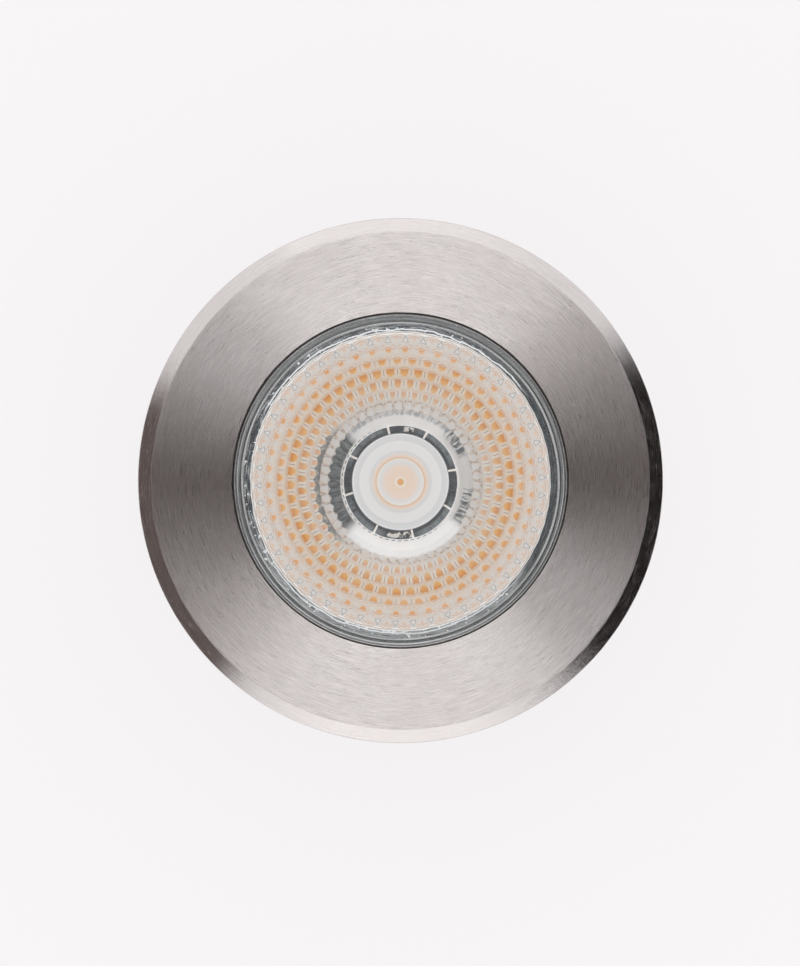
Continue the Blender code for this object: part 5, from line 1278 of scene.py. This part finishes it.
def sleeve_columns():
    """Columns round the sleeve: angle, y where it is kept to, rib share, foot share, notch flag and side.

    At the two cable notches the columns keep to planes of y, doubled at the notch's sides and where the
    foot ends. Elsewhere they keep to angles, closer together at the six ribs."""
    half = np.array([1.35, 1.0, 0.9, 0.9, 0.74, 0.45, 0.0])
    share = np.array([0.0, 0.06, 0.2, 0.88, 0.97, 1.0, 1.0])
    rib_turn = mirrored(np.arcsin(half / (SLEEVE_WALL_RADIUS + share * 2.4)), -1.0)
    beside = np.array([-11.8, -11.8, -NOTCH_HALF])
    y = np.concatenate([beside, NOTCH_HALF * np.sin(np.linspace(-TURN / 4, TURN / 4, 31)), -beside[::-1]])
    foot = np.concatenate([[1.0], np.zeros(len(y) - 2), [1.0]])
    open_below = np.concatenate([np.zeros(3), np.ones(31), np.zeros(3)])
    columns = []
    for side, start in ((1.0, 0.0), (-1.0, TURN / 2)):
        notch_turn = np.arcsin(side * y / SLEEVE_WALL_RADIUS) + start
        columns.append(np.stack([notch_turn, side * y, 0 * y, foot, open_below, 0 * y + side], axis=1))
        between = []
        for k in range(3):
            middle = start + TURN / 12 + TURN / 6 * k
            between.append(np.stack([middle + rib_turn, mirrored(share)], axis=1))
            if k < 2:
                gap = middle + np.linspace(0.0, TURN / 6, 14)[2:-2]
                between.append(np.stack([gap, 0 * gap], axis=1))
        angle, rib = np.concatenate(between).T
        zero = 0 * angle
        columns.append(np.stack([angle, zero, rib, zero + 1.0, zero, zero], axis=1))
    return np.concatenate(columns).T


def make_sleeve():
    """The buried tube. Its outside radius is the largest of the tapered wall, the rings and the ribs.
    Inside a notch no point lies below the arch z = 8.5 + sqrt(half half - y y), and x follows as
    sqrt(r r - y y)."""
    top, flange = sleeve_high.z, sleeve_high.x
    hoop = flange - 0.59
    rows = [(0.0, hoop - 0.3), (0.09, hoop - 0.09), (0.3, hoop)] + rounded_rib(0.0, 2.5, hoop)[4:]
    rows += [(z, 0.0) for z in (2.8, 8.5, 12.0, 16.0, 19.0, 24.0, 38.8)]
    for share, levels in ((0.36, (41.2, 60.0, 76.6)), (0.7, (79.0, 95.0, 108.7))):
        rows += rounded_rib(share * top - 0.9, share * top + 0.9, hoop) + [(z, 0.0) for z in levels]
    rows += rounded_rib(top - 2.2, top, flange)[:-1]
    outer_height, feature = np.array(rows).T
    bore = np.array([37.25, 37.04, SLEEVE_BORE, *[SLEEVE_BORE] * 10, 37.04, 37.25])
    levels = [95, 78, 60, 40, 24, 19, 16, 12, NOTCH_TOP]
    inner_height = np.array([top, top - 0.09, top - 0.3, *levels, 0.3, 0.09, 0])
    angle, y, rib, foot, open_below, side = (column[:, None] for column in sleeve_columns())
    wall = SLEEVE_WALL_RADIUS - SLEEVE_TAPER * (1 - outer_height / top)
    ribbed = (outer_height > 1.25) & (outer_height < 0.7 * top)
    stands_out = np.maximum(feature - wall, 0.0) * np.where(outer_height < 2.6, foot, 1.0)
    outer = np.maximum(wall + stands_out, wall + (hoop - 0.25 - wall) * rib * ribbed)
    radius = np.concatenate([outer, np.broadcast_to(bore, (len(angle), len(bore)))], axis=1)
    height = np.broadcast_to(np.concatenate([outer_height, inner_height]), radius.shape)
    arch = NOTCH_TOP + np.sqrt(np.maximum(NOTCH_HALF**2 - y**2, 0.0))
    under = (open_below > 0) & (height < arch)
    is_outer = np.arange(radius.shape[1]) < len(outer_height)
    level = np.where(is_outer, SLEEVE_WALL_RADIUS - SLEEVE_TAPER * (1 - arch / top), SLEEVE_BORE)
    radius, height = np.where(under, level, radius), np.where(under, arch, height)
    x = np.where(side != 0, side * np.sqrt(np.maximum(radius**2 - y**2, 0.0)), radius * np.cos(angle))
    points = np.stack([x, np.where(side != 0, y, radius * np.sin(angle)), height], axis=-1)
    add_piece("sleeve_moulded", points, moulded["sleeve_plastic"], "sleeve", "sleeve_plastic",
              "installation_sleeve", sharp=34.0, closed=(True, True))


# Stage

# Colour of the floor and of the light from all round
PALE = (0.93, 0.914, 0.922)


def stage_for_gloss(name, points, material, closed=(False, False)):
    """A studio piece that only glossy surfaces show."""
    mesh = grid_mesh(name, points, closed)
    mesh.materials.append(material)
    obj = link(name, mesh)
    obj.visible_camera = obj.visible_shadow = obj.visible_diffuse = obj.visible_transmission = False


def new_cloth(name, tone):
    """A dull cloth without any gloss."""
    return new_finish(name, Roughness=1.0, Base_Color=tone, Specular_IOR_Level=0.0)


def add_hood():
    """A dark round shield beside the camera, which keeps the glass and the lens free of a pale veil."""
    points = carried(np.linspace(0.0, 100.0, 3), around(96), bezel_high.z + CAMERA_DISTANCE)
    points = points + np.array([0.0, CAMERA_OFFSET, 0.0])
    stage_for_gloss("camera_hood", points, new_cloth("hood_cloth", (0.015, 0.015, 0.015))[0], (True, False))


def add_softbox(name, azimuth, tilt, strength, width=2400.0, depth=2800.0, distance=3200.0):
    """A lit panel that faces the light from an azimuth and a tilt in degrees: centre plus s times across
    plus t times up."""
    azimuth, tilt = math.radians(azimuth), math.radians(tilt)
    towards = carried(math.sin(tilt), azimuth, math.cos(tilt))
    across = np.array([-math.sin(azimuth), math.cos(azimuth), 0.0])
    upward = np.cross(towards, across)
    s, t = np.meshgrid(np.linspace(-0.5, 0.5, 9), np.linspace(-0.5, 0.5, 9), indexing="ij")
    centre = towards * distance + np.array([0.0, 0.0, bezel_high.z])
    material, tree, _ = new_finish(name + "_glow")
    show(add_node(tree, "Emission", {"Color": (1.0, 0.99, 0.985), "Strength": strength}))
    stage_for_gloss(name, centre + s[..., None] * across * width + t[..., None] * upward * depth, material)


def add_card(name, centre, half_width, fade, tone, radius=2600.0):
    """A dark card on a sphere round the light: radius times (sin t cos a, sin t sin a, cos t). Its cloth
    thins out towards its sides, so that its reflection has soft edges. The angles come in degrees."""
    centre, half_width, fade = (math.radians(angle) for angle in (centre, half_width, fade))
    material, tree, shader = new_cloth(name + "_cloth", tone)
    x, y, _ = object_place(tree)
    turned_x = x * math.cos(centre) + y * math.sin(centre)
    turned_y = y * math.cos(centre) - x * math.sin(centre)
    off = turned_y.angle(turned_x).size()
    show(mixed(off.step(half_width - fade, half_width), Value(shader.outputs[0]), see_through(tree)))
    tilt = np.linspace(0.0, math.radians(89.5), 40)
    azimuth = centre + np.linspace(-half_width, half_width, 60)[:, None]
    stage_for_gloss(name, carried(radius * np.sin(tilt), azimuth, radius * np.cos(tilt)), material)


def add_floor():
    """A pale floor. Most of what the camera sees of it is its plain colour, and the rest takes the light.
    From below it is clear."""
    size, low = 6.0, -0.05 * MM
    mesh = bpy.data.meshes.new("floor")
    corners = [(-size, -size, low), (size, -size, low), (size, size, low), (-size, size, low)]
    mesh.from_pydata(corners, [], [(0, 1, 2, 3)])
    material, tree, shader = new_finish("floor_paper", Roughness=0.9, Base_Color=PALE)
    glow = add_node(tree, "Emission", {"Color": (0.975, 0.957, 0.966)})
    seen = is_ray(tree, "Camera", "Glossy", "Transmission")
    lit = mixed(seen * 0.8, Value(shader.outputs[0]), glow)
    show(mixed(add_node(tree, "NewGeometry", output="Backfacing"), lit, see_through(tree)))
    mesh.materials.append(material)
    link("floor", mesh)


def add_world():
    """Even pale light from all round."""
    world = bpy.data.worlds.new("studio")
    bpy.context.scene.world = world
    world.use_nodes = True
    dress(world.node_tree.nodes["Background"], Color=PALE, Strength=1.0)


add_world()
add_floor()
add_hood()
add_card("right_card", -9, 47, 12, (0.008, 0.006, 0.005))
add_card("left_card", 193, 43, 14, (0.148, 0.122, 0.114))
add_softbox("upper_softbox", 92, 38, 1.3)
add_softbox("lower_softbox", 270, 40, 1.34)

make_bezel()
make_glass()
make_glass_gasket()
make_ribbed_ring("glass_seal_ring", RIM_BORE + 0.38, GLASS_FLANGE_RADIUS, seal_low.z, seal_high.z, 3,
                 moulded["grey_silicone"], "lamp_head", "glass_seal")
make_lens_ring()
make_lens()
make_housing()
make_rear_cover()
make_screws()
make_springs()
make_gland_body()
make_gland_nut()
make_gland_rubber("gland_ring_moulded", 6.1, 7.5, 12.3, 13.5, "gland_ring")
make_gland_rubber("gland_seal_moulded", 3.3, 4.3, -0.6, 5.4, "gland_seal")
make_sleeve()
make_ribbed_ring("flange_seal_ring", 37.65, 41.67, flange_seal_low.z, flange_seal_high.z, 4,
                 moulded["black_silicone"], "sleeve", "flange_seal")

NODE_FINISHES = {
    "led_holder": moulded["holder_plastic"],
    "led_substrate": moulded["led_ceramic"],
    "led_emitter": led_phosphor,
    "thermal_pad": moulded["thermal_pad"],
    "driver_board": board_green,
    "terminal_block": moulded["terminal_green"],
    "led_lead_positive": moulded["lead_red"],
    "led_lead_negative": moulded["lead_black"],
    "housing": cast_aluminium,
    "rear_cover": cast_aluminium,
    "installation_sleeve": moulded["sleeve_plastic"],
    "gland_body": moulded["gland_nylon"],
    "gland_nut": moulded["gland_nylon"],
}
for name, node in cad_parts.items():
    if name in NODE_FINISHES:
        finish = NODE_FINISHES[name]
    elif "screw" in name:
        finish = screw_steel
    elif "spring" in name:
        finish = spring_steel
    elif name.startswith("driver"):
        finish = moulded["component_black"]
    else:
        finish = moulded["black_silicone"]
    node.data.materials.clear()
    node.data.materials.append(finish)

bpy.context.scene.view_settings.view_transform = "Standard"
